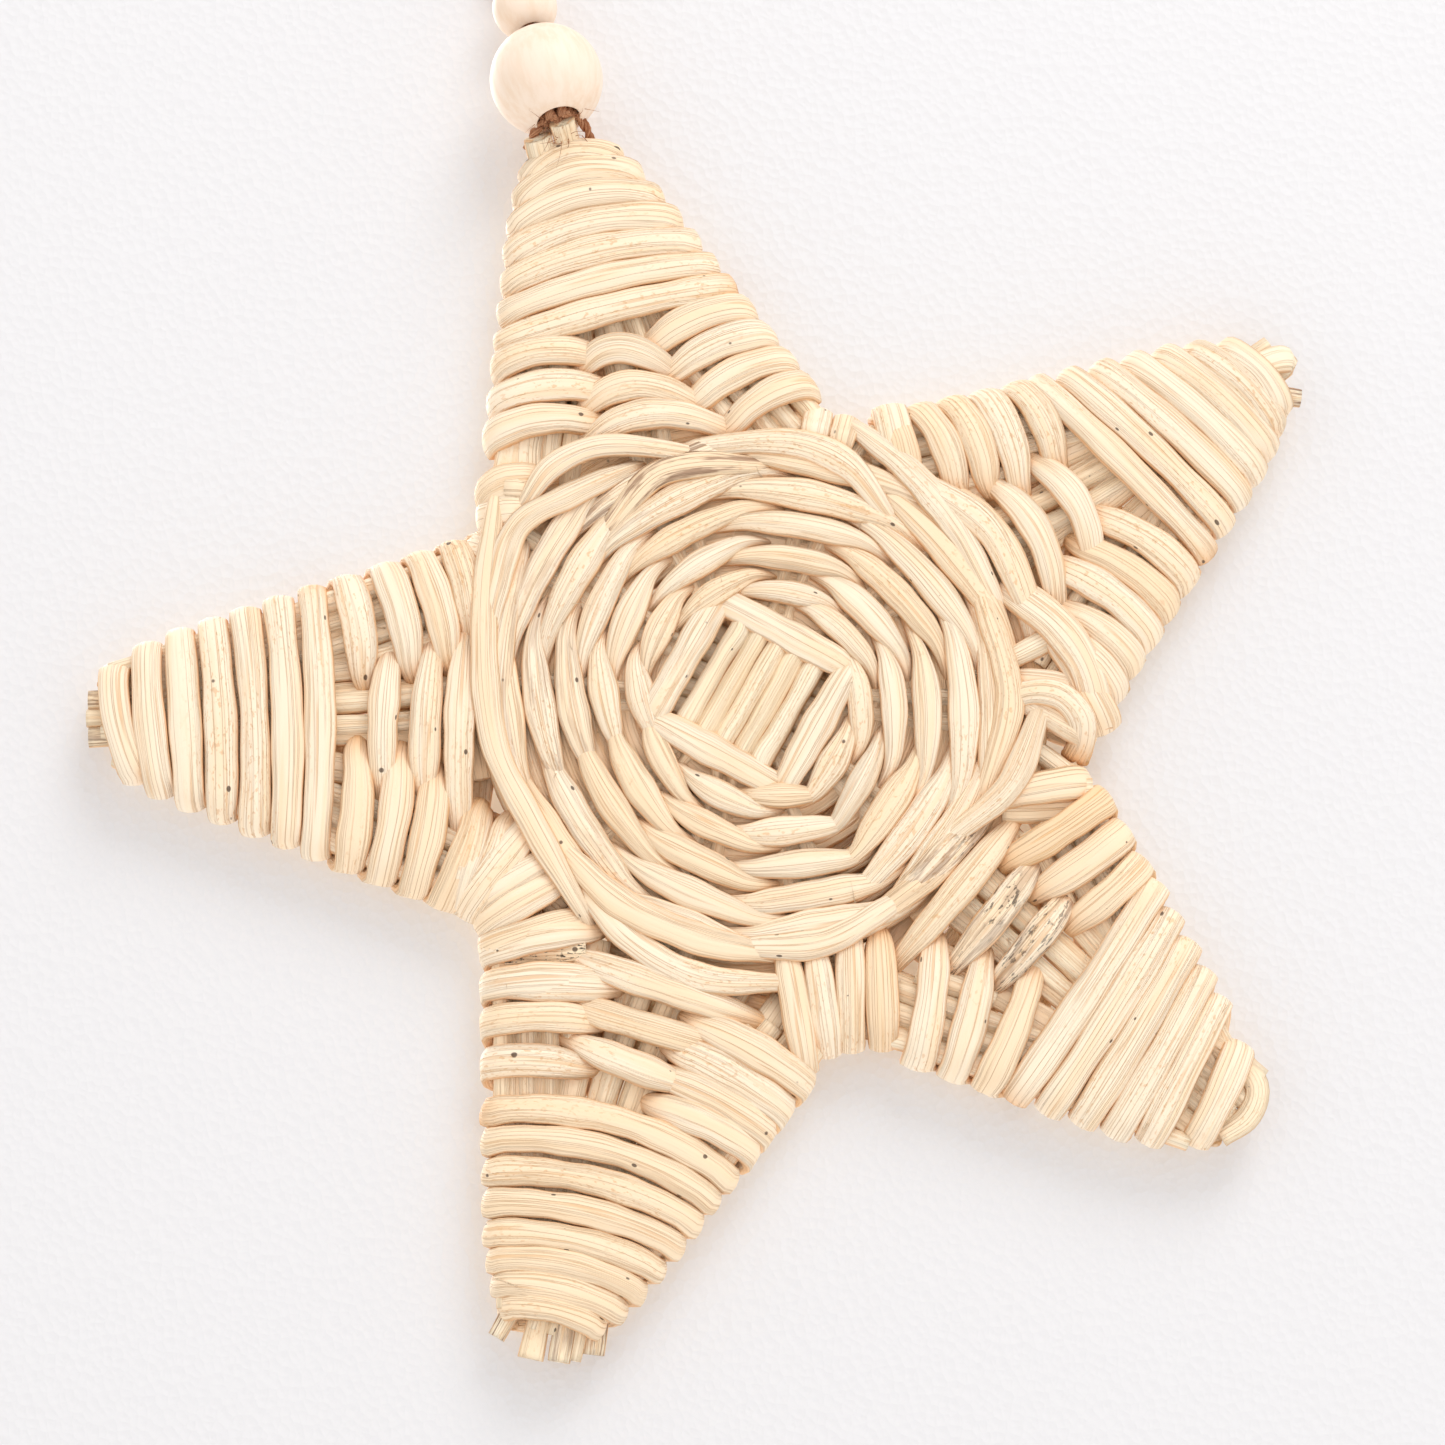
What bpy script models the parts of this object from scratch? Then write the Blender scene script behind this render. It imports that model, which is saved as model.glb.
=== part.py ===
# Woven rattan star with two wooden beads on a jute cord, in metres.
# The star hangs upright: X is to the right, Z is up and its face looks along -Y.
# The origin is the top of the hanging loop.

import math

import bmesh
import bpy
from mathutils import Vector

MM = 0.001

# Reeds, in millimetres
STAKE_THICKNESS = 2.2
STAKE_WIDTH = 2.8
STAKE_CENTRE_WIDTH = 2.15
STAKE_NECK_WIDTH = 1.5
STAKE_TIP_WIDTH = 1.9
WEAVER_THICKNESS = 1.9
WEAVER_THIN = 1.4
WEAVER_WIDTH = 3.75
WEAVER_NARROW = 1.5
CLEARANCE = 0.3
EDGE_ROOM = 0.7

# Round woven middle
STAKE_PITCH = 2.65
CROSS_ANGLE = 45.5
CROSS_HALF = 7.0
LASHING_WIDTH = 2.6
LASHING_THICKNESS = 1.6
LASHING_CORNER = 4.3
FIRST_RING = 13.6
RING_PITCH = 4.25
RING_TURNS = 6
RING_STEP_SHARE = 0.2
RING_SQUARENESS = 0.6
RING_REED_WIDTH = 3.6
RIM_STEP = 3.2
RIM_WIDTH = 2.5
TWIST_WIDTH = 1.3
TWIST_OFFSET = 0.85
TWIST_SHARE = 0.12
TWINE_START_ANGLE = 184.5
SPOKE_ANGLES = (20.5, 55.0, 97.0, 131.0, 165.0, 205.0, 238.5, 270.5, 302.8, 340.0)

# Arms: name, axis angle, reach of the last wrap, spoke, first wrap, wraps, half width of the tip
ARMS = (
    ("right", 16.5, 76.5, 0, 54.0, 6, 7.6),
    ("top", 93.6, 74.5, 2, 51.5, 6, 7.4),
    ("left", 165.7, 80.0, 4, 51.5, 7, 7.4),
    ("lower_left", 237.4, 81.5, 6, 53.5, 8, 7.6),
    ("lower_right", 303.1, 77.0, 8, 52.0, 6, 7.8),
)
# Inner corners between one arm and the next one anticlockwise: angle, radius, spoke, and how
# far along each side its stake joins, for the arm before and the arm after the corner
NOTCHES = (
    (51.7, 38.2, 1, 3.0, 6.6),
    (128.7, 42.3, 3, 2.6, 3.2),
    (205.0, 44.3, 5, 2.0, 2.0),
    (272.5, 46.8, 7, 1.6, 1.6),
    (335.8, 43.2, 9, 2.0, 3.0),
)
NOTCH_NAMES = ("upper_right", "upper_left", "left", "lower", "right")
ROWS = 5
ROW_PITCH = 4.3
ROOM_TO_PASS = 0.4
WRAP_GAP = 0.6
WRAPS_AFTER_ROWS = 1.0
WINDOW = 4.6
STUB_LENGTH = 3.4
SHORT_STUB = 0.6
SIDE_STAKE_START = 3.4
CORNER_BAND_WIDTH = 3.3
LEAST_BAND = 1.8
BAND_STEP = 0.1
CORNER_CUT = 0.6

# Beads and cord
LARGE_BEAD = 14.0
LARGE_BORE = 5.2
SMALL_BEAD = 8.0
SMALL_BORE = 3.2
BEAD_X = -3.7
BEAD_Z = 85.2
BEAD_FORWARD = 3.4
BEAD_LEAN = 15.0
CORD_DIAMETER = 1.5
KNOT_DIAMETER = 4.2
KNOT_HEIGHT = 5.0
LOOP_HEIGHT = 40.0
LOOP_WIDTH = 9.0

# Values that follow from the ones above
STAKE_HALF = STAKE_THICKNESS / 2
WEAVE_LEVEL = STAKE_HALF + CLEARANCE + WEAVER_THICKNESS / 2
LAYER_LEVEL = STAKE_HALF + CLEARANCE / 2
TURN_LEVEL = WEAVE_LEVEL - CORNER_CUT
EDGE_LINE = WEAVER_THICKNESS / 2
OUTER_STAKE = EDGE_LINE + WEAVER_THICKNESS / 2 + EDGE_ROOM + STAKE_WIDTH / 2
INNER_STAKE = OUTER_STAKE + STAKE_WIDTH + CLEARANCE
BUNDLE_DEPTH = INNER_STAKE + STAKE_WIDTH / 2
SMALL_BEAD_RISE = (LARGE_BEAD + SMALL_BEAD) / 2 + CLEARANCE
KNOT_RISE = SMALL_BEAD_RISE + SMALL_BEAD / 2 + KNOT_HEIGHT / 2 + CLEARANCE
LEAN = math.radians(BEAD_LEAN)
LOOP_TOP = BEAD_Z + KNOT_RISE * math.cos(LEAN) + KNOT_HEIGHT / 2 + LOOP_HEIGHT + CORD_DIAMETER / 2

REED_COLOUR = (0.80, 0.62, 0.40, 1.0)
STAKE_COLOUR = (0.82, 0.68, 0.43, 1.0)
WOOD_COLOUR = (0.86, 0.72, 0.55, 1.0)
JUTE_COLOUR = (0.42, 0.24, 0.14, 1.0)


def world(x, z, forward=0.0):
    """A point of the star's plan, in millimetres from the star's middle, as world metres."""
    return Vector((x, -forward, z - LOOP_TOP)) * MM


def polar(radius, degrees):
    angle = math.radians(degrees)
    return Vector((radius * math.cos(angle), radius * math.sin(angle)))


def material(name, colour, roughness):
    made = bpy.data.materials.new(name)
    made.use_nodes = True
    shader = made.node_tree.nodes["Principled BSDF"]
    shader.inputs["Base Color"].default_value = colour
    shader.inputs["Roughness"].default_value = roughness
    shader.inputs["Metallic"].default_value = 0.0
    return made


def add_object(name, mesh, finish):
    mesh.materials.append(finish)
    made = bpy.data.objects.new(name, mesh)
    bpy.context.collection.objects.link(made)
    return made


def station(plan, forward, across, width, thickness):
    """One cross-section of a reed: plan point, distance forward, direction of its width, sizes."""
    side = Vector((across[0], 0.0, across[1]))
    return world(plan[0], plan[1], forward), side, width, thickness


def mitre(forward, sideways):
    """How much wider a cross-section is at a bend, so that the reed keeps its size."""
    return min(math.hypot(forward, sideways) / max(forward, 0.01), 1.4)


def reed(name, stations, finish, closed=False):
    """Sweep a flat four-sided reed through its stations, mitred at each bend."""
    shape = bmesh.new()
    rings = []
    count = len(stations)
    for index, (point, side, width, thickness) in enumerate(stations):
        before = stations[(index - 1) % count][0] if closed or index else point
        after = stations[(index + 1) % count][0] if closed or index < count - 1 else point
        arriving = (point - before).normalized()
        leaving = (after - point).normalized()
        along = (arriving + leaving).normalized()
        across = (side - along * side.dot(along)).normalized()
        up = along.cross(across)
        onward = leaving if leaving.length else arriving
        half_width = across * (width * MM / 2 * mitre(onward.dot(along), onward.dot(across)))
        half_depth = up * (thickness * MM / 2 * mitre(onward.dot(along), onward.dot(up)))
        corners = (half_width + half_depth, half_depth - half_width,
                   -half_width - half_depth, half_width - half_depth)
        rings.append([shape.verts.new(point + corner) for corner in corners])
    pairs = list(zip(rings, rings[1:]))
    if closed:
        pairs.append((rings[-1], rings[0]))
    for low, high in pairs:
        for corner in range(4):
            following = (corner + 1) % 4
            shape.faces.new((low[corner], low[following], high[following], high[corner]))
    if not closed:
        shape.faces.new(rings[0])
        shape.faces.new(rings[-1])
    bmesh.ops.recalc_face_normals(shape, faces=shape.faces)
    mesh = bpy.data.meshes.new(name)
    shape.to_mesh(mesh)
    shape.free()
    return add_object(name, mesh, finish)


class Side:
    """One long edge of an arm, from its inner corner to the tip."""

    def __init__(self, corner, tip):
        self.corner = corner
        self.along = (tip - corner).normalized()
        self.length = (tip - corner).length
        inward = Vector((-self.along.y, self.along.x))
        if inward.dot(-(corner + tip)) < 0:
            inward = -inward
        self.inward = inward

    def at(self, distance, depth):
        return self.corner + self.along * distance + self.inward * depth


class Arm:
    """One arm: its axis, its two sides and where its wraps begin and end."""

    def __init__(self, index):
        self.name, angle, self.reach, self.spoke, self.first, self.wraps, self.tip = ARMS[index]
        self.axis = polar(1.0, angle)
        self.cross = Vector((-self.axis.y, self.axis.x))
        before, after = NOTCHES[index - 1], NOTCHES[index]
        self.joins = {-1: before[4], 1: after[3]}
        tip = self.axis * self.reach
        self.sides = {
            -1: Side(polar(before[1], before[0]), tip - self.cross * self.tip),
            1: Side(polar(after[1], after[0]), tip + self.cross * self.tip),
        }
        self.pitch = (self.reach - self.first) / self.wraps
        self.room = self.first - WINDOW - rim_radius(angle) - CLEARANCE
        self.centre_pitch = min(ROW_PITCH, self.room / (ROWS / 2))
        self.root = polar(ring_radius(RING_TURNS - 1), SPOKE_ANGLES[self.spoke])

    def place(self, along, across):
        return self.axis * along + self.cross * across

    def centre_place(self, along, across):
        """A place beside the two middle stakes, which lead from the spoke to the arm's axis."""
        start = self.root.dot(self.axis)
        share = min(max((self.first - WINDOW - along) / (self.first - WINDOW - start), 0.0), 1.0)
        return self.place(along, across + self.root.dot(self.cross) * share)

    def half_width(self, hand, along):
        side = self.sides[hand]
        distance = (along - side.corner.dot(self.axis)) / side.along.dot(self.axis)
        return abs(side.at(distance, 0.0).dot(self.cross))

    def row_distance(self, hand, row):
        """Distance along a side of the given half row, counted down from the first wrap."""
        side = self.sides[hand]
        top = (self.first - side.corner.dot(self.axis)) / side.along.dot(self.axis)
        return top - WRAPS_AFTER_ROWS + (row - ROWS) * ROW_PITCH / 2

    def centre_distance(self, row):
        return self.first - WINDOW + (row - ROWS + 1) * self.centre_pitch / 2


def ring_angle(turn):
    return TWINE_START_ANGLE + 360.0 * turn


def ring_radius(turn):
    """Each turn keeps its radius nearly all round and steps out to the next one at its end."""
    whole = min(int(turn), RING_TURNS - 1)
    step = min(max((turn - whole - 1 + RING_STEP_SHARE) / RING_STEP_SHARE, 0.0), 1.0)
    courses = [FIRST_RING + RING_PITCH * course for course in range(RING_TURNS - 1)]
    courses.append(courses[-1] + RIM_STEP)
    following = courses[min(whole + 1, RING_TURNS - 1)]
    radius = courses[whole] + (following - courses[whole]) * step
    squareness = RING_SQUARENESS * (1 - turn / RING_TURNS)
    corner = math.radians(4 * (ring_angle(turn) - CROSS_ANGLE - 45.0))
    return radius + squareness * math.cos(corner)


def ring_reed_width(turn):
    return RING_REED_WIDTH if turn < RING_TURNS - 1 - RING_STEP_SHARE else RIM_WIDTH


def rim_radius(degrees):
    """Outer radius of the woven middle in one direction."""
    turn = RING_TURNS - 1 + ((degrees - TWINE_START_ANGLE) % 360.0) / 360.0
    nearest = min(abs((degrees - spoke + 180.0) % 360.0 - 180.0) for spoke in SPOKE_ANGLES)
    return ring_radius(turn) / math.cos(math.radians(nearest)) + TWIST_OFFSET + TWIST_WIDTH / 2


def crossing_turns():
    """Turns at which the two ring reeds pass each other, midway between spokes."""
    angles = sorted(SPOKE_ANGLES)
    middles = []
    for index, angle in enumerate(angles):
        following = angles[(index + 1) % len(angles)] + (360.0 if index == len(angles) - 1 else 0.0)
        middles.append(((angle + following) / 2 - TWINE_START_ANGLE) % 360.0 / 360.0)
    turns = sorted(whole + part for whole in range(RING_TURNS) for part in middles)
    return [turn for turn in turns if turn < RING_TURNS - RING_STEP_SHARE]


def ring_stations(hand):
    """Stations of one of the two ring reeds; hand is 1 for the one in front at first."""
    made = []
    # The reed runs straight over each spoke, so it is farther out where it crosses the other
    stretch = 1 / math.cos(math.pi / len(SPOKE_ANGLES))
    crossings = [(turn, polar(ring_radius(turn) * stretch, ring_angle(turn))) for turn in crossing_turns()]
    face = hand
    for (turn, start), (following, end) in zip(crossings, crossings[1:]):
        outward = (start + end).normalized()
        span = end - start
        width = ring_reed_width((turn + following) / 2)
        level = face * WEAVE_LEVEL
        # A reed leaves the front on the outer side and comes back on the inner side
        enter, leave = -face * TWIST_OFFSET, face * TWIST_OFFSET
        first = start + span * TWIST_SHARE
        last = end - span * TWIST_SHARE
        made.append(station(first + first.normalized() * enter, level, outward, TWIST_WIDTH, WEAVER_THIN))
        made.append(station(start + span * 0.5, level, outward, width, WEAVER_THICKNESS))
        made.append(station(last + last.normalized() * leave, level, outward, TWIST_WIDTH, WEAVER_THIN))
        face = -face
    return made


def lashing_stations(level):
    """A square of reed with rounded corners around the crossing of the middle stakes."""
    made = []
    half = CROSS_HALF + CLEARANCE + LASHING_WIDTH / 2
    straight = half - LASHING_CORNER
    for quarter in range(4):
        facing = CROSS_ANGLE + 90.0 * quarter
        outward, sideways = polar(1.0, facing), polar(1.0, facing + 90.0)
        corner = (outward + sideways).normalized()
        bend = outward * straight + sideways * straight + corner * LASHING_CORNER
        for plan, across in ((outward * half + sideways * -straight, outward),
                             (outward * half + sideways * straight, outward), (bend, corner)):
            made.append(station(plan, level, across, LASHING_WIDTH, LASHING_THICKNESS))
    return made


# Each long stake crosses the middle: layer, place in the layer, then spoke and slot at each end
STAKES = tuple(
    (layer, place, ends)
    for layer, ends_list in (
        (1, (((2, -1), (5, -1)), ((1, 1), (5, 1)), ((1, -1), (6, -1)), ((0, 1), (6, 1)), ((0, -1), (7, -1)))),
        (-1, (((9, 1), (2, 1)), ((9, -1), (3, -1)), ((8, 1), (3, 1)), ((8, -1), (4, -1)), ((7, 1), (4, 1)))),
    )
    for place, ends in enumerate(ends_list)
)


def stake_width(radius):
    """Stakes are squeezed where they pass the first ring and open out again."""
    share = min(max((radius - FIRST_RING) / (2 * RING_PITCH), 0.0), 1.0)
    return STAKE_NECK_WIDTH + (STAKE_WIDTH - STAKE_NECK_WIDTH) * share


def spoke_points(spoke, slot):
    """Plan point, forward and width of a stake along its spoke, from the middle outwards."""
    angle = SPOKE_ANGLES[spoke]
    across = polar(1.0, angle + 90.0)
    outer = ring_radius(RING_TURNS - 1)
    made = []
    for radius in (FIRST_RING - 1.9, FIRST_RING + RING_PITCH, FIRST_RING + 2 * RING_PITCH, outer):
        width = stake_width(radius)
        made.append((polar(radius, angle) + across * (slot * (width + CLEARANCE) / 2), 0.0, width))
    return made


def outer_points(spoke, slot, arms):
    """The rest of a stake: along the middle of an arm, or round a corner and along its side."""
    for arm in arms:
        if arm.spoke == spoke:
            lane = (STAKE_TIP_WIDTH + CLEARANCE) / 2
            root = (STAKE_WIDTH + CLEARANCE) / 2
            middle = arm.first - WINDOW
            return [(arm.place(middle, slot * root), 0.0, STAKE_WIDTH),
                    (arm.place(arm.reach - arm.pitch, slot * lane), 0.0, STAKE_TIP_WIDTH),
                    (arm.place(arm.reach + STUB_LENGTH, slot * lane), 0.0, STAKE_TIP_WIDTH)]
    notch = [entry[2] for entry in NOTCHES].index(spoke)
    arm = arms[(notch + 1) % len(arms)] if slot > 0 else arms[notch]
    side = arm.sides[-slot]
    join = arm.joins[-slot]
    edge = OUTER_STAKE - (STAKE_WIDTH - STAKE_TIP_WIDTH) / 2
    made = [(side.at(distance, OUTER_STAKE), 0.0, STAKE_WIDTH) for distance in (join, join + 2.0)]
    made.append((side.at(side.length + STUB_LENGTH * SHORT_STUB, edge), 0.0, STAKE_TIP_WIDTH))
    return made


def stake_stations(layer, place, ends, arms):
    """Stations of one long stake from one end to the other."""
    facing = CROSS_ANGLE if layer > 0 else CROSS_ANGLE - 90.0
    along, sideways = polar(1.0, facing), polar(1.0, facing + 90.0)
    offset = sideways * ((2 - place) * STAKE_PITCH)
    halves = []
    for sign, (spoke, slot) in zip((1, -1), ends):
        edge = (along * (sign * (CROSS_HALF + 0.6)) + offset, layer * LAYER_LEVEL, STAKE_CENTRE_WIDTH)
        halves.append([edge] + spoke_points(spoke, slot) + outer_points(spoke, slot, arms))
    route = list(reversed(halves[1])) + halves[0]
    made = []
    for index, (plan, forward, width) in enumerate(route):
        before, after = route[max(index - 1, 0)][0], route[min(index + 1, len(route) - 1)][0]
        heading = (after - before).normalized()
        made.append(station(plan, forward, (-heading.y, heading.x), width, STAKE_THICKNESS))
    return made


def side_stake_stations(arm, hand):
    """The second, shorter stake beside the outer one, ending where the arm gets too narrow."""
    side = arm.sides[hand]
    slope = abs(side.along.dot(arm.cross))
    least = STAKE_WIDTH + INNER_STAKE + STAKE_WIDTH / 2 + 1.5 * CLEARANCE
    wide = side.corner.dot(arm.cross) * hand
    across = (side.inward.x, side.inward.y)
    root = max(arm.row_distance(hand, -1), arm.joins[hand] + SIDE_STAKE_START)
    return [station(side.at(distance, INNER_STAKE), 0.0, across, STAKE_WIDTH, STAKE_THICKNESS)
            for distance in (root, (wide - least) / slope)]


def edge_turn(arm, hand, row, faces):
    """Four stations round the outer edge of a side, from one face to the other."""
    side = arm.sides[hand]
    across = side.along
    made = []
    levels = ((EDGE_LINE + CORNER_CUT, WEAVE_LEVEL), (EDGE_LINE, TURN_LEVEL),
              (EDGE_LINE, -TURN_LEVEL), (EDGE_LINE + CORNER_CUT, -WEAVE_LEVEL))
    for step, (depth, forward) in enumerate(levels if faces > 0 else reversed(levels)):
        distance = arm.row_distance(hand, row + (step + 1) / 5)
        made.append(station(side.at(distance, depth), forward, across, WEAVER_WIDTH, WEAVER_THICKNESS))
    return made


def middle_stations(arm, row, hand, face):
    """One pass over or behind the two middle stakes of an arm."""
    reach = STAKE_WIDTH + CLEARANCE + ROOM_TO_PASS
    full = min(WEAVER_WIDTH, arm.centre_pitch - CLEARANCE / 2)
    narrow = min(WEAVER_NARROW, arm.centre_pitch / 2 - CLEARANCE / 2)
    along = arm.centre_distance(row)
    return [station(arm.centre_place(along, hand * across), face * WEAVE_LEVEL, arm.axis, width, thickness)
            for across, width, thickness in ((reach, narrow, WEAVER_THIN), (0.0, full, WEAVER_THICKNESS),
                                             (-reach, narrow, WEAVER_THIN))]


def side_station(arm, hand, row, face):
    """Where a half row passes the inner edge of a side, narrow enough to slip past the next."""
    side = arm.sides[hand]
    inner = side.at(arm.row_distance(hand, row), BUNDLE_DEPTH + ROOM_TO_PASS)
    return station(inner, face * WEAVE_LEVEL, side.along, WEAVER_NARROW, WEAVER_THIN)


def row_stations(arm):
    """Half rows over one side, behind the middle and over the other, then back."""
    start = arm.sides[1].at(arm.row_distance(1, 0), OUTER_STAKE)
    made = [station(start, WEAVE_LEVEL, arm.sides[1].along, WEAVER_WIDTH, WEAVER_THICKNESS)]
    for row in range(ROWS):
        hand, face = (1, 1) if row % 2 == 0 else (-1, -1)
        made.append(side_station(arm, hand, row, face))
        made += middle_stations(arm, row, hand, -face)
        made.append(side_station(arm, -hand, row, face))
        made += edge_turn(arm, -hand, row, face)
    # The first wrap starts behind, where the last turn would end
    return made[:-1]


def wrap_stations(arm):
    """Spiral wraps round the whole arm, from the first one to the tip."""
    made = []
    for wrap in range(arm.wraps):
        steps = ((-0.235, -1, CORNER_CUT, -WEAVE_LEVEL), (0.235, 1, CORNER_CUT, -WEAVE_LEVEL),
                 (0.245, 1, 0.0, -TURN_LEVEL), (0.255, 1, 0.0, TURN_LEVEL),
                 (0.265, 1, CORNER_CUT, WEAVE_LEVEL), (0.735, -1, CORNER_CUT, WEAVE_LEVEL),
                 (0.745, -1, 0.0, TURN_LEVEL), (0.755, -1, 0.0, -TURN_LEVEL))
        for phase, hand, cut, forward in steps:
            along = arm.first + arm.pitch * (wrap + phase)
            across = hand * (arm.half_width(hand, along) - EDGE_LINE - cut)
            width = min(WEAVER_WIDTH, arm.pitch - WRAP_GAP)
            slant = arm.axis if cut else arm.sides[hand].along
            made.append(station(arm.place(along, across), forward, slant, width, WEAVER_THICKNESS))
    return made


def band_reach(outer, inward, along, width):
    """How deep a band can go from the outline before it meets the woven middle."""
    reach = EDGE_LINE + CORNER_CUT
    while reach < BUNDLE_DEPTH:
        for corner in (-width / 2, width / 2):
            point = outer + inward * (reach + BAND_STEP) + along * corner
            limit = rim_radius(math.degrees(math.atan2(point.y, point.x))) + CLEARANCE
            if point.length < limit:
                return reach
        reach += BAND_STEP
    return reach


def band_stations(outer, inward, along, width):
    """A short reed over the corner stakes, round the outline and back behind them."""
    reach = band_reach(outer, inward, along, width)
    levels = ((reach, WEAVE_LEVEL), (EDGE_LINE + CORNER_CUT, WEAVE_LEVEL), (EDGE_LINE, TURN_LEVEL),
              (EDGE_LINE, -TURN_LEVEL), (EDGE_LINE + CORNER_CUT, -WEAVE_LEVEL), (reach, -WEAVE_LEVEL))
    return [station(outer + inward * depth, forward, along, width, WEAVER_THICKNESS)
            for depth, forward in levels]


def notch_bands(index, arms):
    """The band in an inner corner and, where there is room, one more on each side of it."""
    angle, radius = NOTCHES[index][:2]
    radial = polar(1.0, angle)
    across = Vector((-radial.y, radial.x))
    made = []
    middle_fits = True
    for arm, hand, word in ((arms[index], 1, "first"), (arms[(index + 1) % len(arms)], -1, "second")):
        side = arm.sides[hand]
        low = CORNER_BAND_WIDTH / 2 / abs(side.along.dot(across)) + CLEARANCE
        high = arm.row_distance(hand, 0) - WEAVER_WIDTH / 2 - CLEARANCE
        middle_fits = middle_fits and high > low
        width = min(WEAVER_WIDTH, high - low)
        outer = side.at(high - width / 2, 0.0)
        if width > LEAST_BAND and band_reach(outer, side.inward, side.along, width) > OUTER_STAKE:
            made.append((word, band_stations(outer, side.inward, side.along, width)))
    corner = radial * radius
    if middle_fits and band_reach(corner, -radial, across, CORNER_BAND_WIDTH) > OUTER_STAKE:
        made.append(("middle", band_stations(corner, -radial, across, CORNER_BAND_WIDTH)))
    return made


def bead(name, diameter, bore, rise, finish):
    """A drilled ball, turned from a profile round its own bore."""
    radius, hole = diameter / 2, bore / 2
    steps = 8 if diameter > 10 else 6
    start = math.asin(hole / radius)
    profile = []
    for step in range(steps + 1):
        angle = start + (math.pi - 2 * start) * step / steps
        profile.append(Vector((radius * math.sin(angle), 0.0, radius * math.cos(angle))) * MM)
    shape = bmesh.new()
    ends = [shape.verts.new(point) for point in profile]
    edges = [shape.edges.new(pair) for pair in zip(ends, ends[1:])]
    edges.append(shape.edges.new((ends[-1], ends[0])))
    bmesh.ops.spin(shape, geom=ends + edges, cent=(0, 0, 0), axis=(0, 0, 1),
                   angle=2 * math.pi, steps=2 * steps, use_merge=True)
    bmesh.ops.remove_doubles(shape, verts=shape.verts, dist=0.00001)
    bmesh.ops.recalc_face_normals(shape, faces=shape.faces)
    mesh = bpy.data.meshes.new(name)
    shape.to_mesh(mesh)
    shape.free()
    mesh.shade_smooth()
    made = add_object(name, mesh, finish)
    made.location = bead_line(rise)
    made.rotation_euler = (-LEAN, 0.0, 0.0)
    return made


def bead_line(rise):
    """A point on the line through both beads, leaning back towards the wall as it rises."""
    return world(BEAD_X, BEAD_Z + rise * math.cos(LEAN), BEAD_FORWARD - rise * math.sin(LEAN))


def cord(name, points, finish):
    """A plain round tube through the points, on a poly spline."""
    curve = bpy.data.curves.new(name, "CURVE")
    curve.dimensions = "3D"
    curve.bevel_depth = CORD_DIAMETER * MM / 2
    curve.bevel_resolution = 2
    curve.use_fill_caps = True
    spline = curve.splines.new("POLY")
    spline.points.add(len(points) - 1)
    for target, point in zip(spline.points, points):
        target.co = (*point, 1.0)
    curve.materials.append(finish)
    made = bpy.data.objects.new(name, curve)
    bpy.context.collection.objects.link(made)
    return made


def smooth_route(points, pieces):
    """A smooth curve through the given points."""
    made = []
    last = len(points) - 1
    for index in range(last):
        before, start = points[max(index - 1, 0)], points[index]
        end, after = points[index + 1], points[min(index + 2, last)]
        for piece in range(pieces):
            share = piece / pieces
            made.append(0.5 * (2 * start + (end - before) * share
                               + (2 * before - 5 * start + 4 * end - after) * share ** 2
                               + (3 * start - before - 3 * end + after) * share ** 3))
    made.append(points[-1])
    return made


def cord_route(arms):
    """From the tip of the top arm through both beads to just under the knot."""
    top = next(arm for arm in arms if arm.name == "top")
    lane = WEAVE_LEVEL
    start = top.place(top.reach + EDGE_LINE, -STAKE_TIP_WIDTH / 2)
    first = world(start.x, start.y, lane)
    ends = (-LARGE_BEAD / 2, 0.0, LARGE_BEAD / 2, SMALL_BEAD_RISE, KNOT_RISE - KNOT_HEIGHT / 2 - CLEARANCE)
    return smooth_route([first] + [bead_line(rise) for rise in ends], 2)


def loop_route():
    """The hanging loop: up one side, over the top and down the other side."""
    foot = bead_line(KNOT_RISE) + Vector((0.0, 0.0, (KNOT_HEIGHT / 2 + CLEARANCE) * MM))
    apart = CORD_DIAMETER / 2 + CLEARANCE
    rise = LOOP_HEIGHT - CLEARANCE
    # Distance to the left and height, for the rising half of a narrow teardrop
    rising = ((apart, 0.0), (apart * 1.2, rise * 0.15), (LOOP_WIDTH * 0.3, rise * 0.4),
              (LOOP_WIDTH * 0.5, rise * 0.72), (LOOP_WIDTH * 0.34, rise * 0.94))
    outline = [(-across, height) for across, height in rising] + [(0.0, rise)]
    outline += list(reversed(rising))
    points = [Vector((foot.x + across * MM, foot.y * (1 - height / rise), foot.z + height * MM))
              for across, height in outline]
    return smooth_route(points, 3)


def knot(finish):
    """The knot above the small bead, as one rounded lump."""
    shape = bmesh.new()
    bmesh.ops.create_uvsphere(shape, u_segments=10, v_segments=6, radius=KNOT_DIAMETER * MM / 2)
    bmesh.ops.scale(shape, verts=shape.verts, vec=(1.0, 1.0, KNOT_HEIGHT / KNOT_DIAMETER))
    mesh = bpy.data.meshes.new("knot")
    shape.to_mesh(mesh)
    shape.free()
    made = add_object("knot", mesh, finish)
    made.location = bead_line(KNOT_RISE)
    return made


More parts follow.
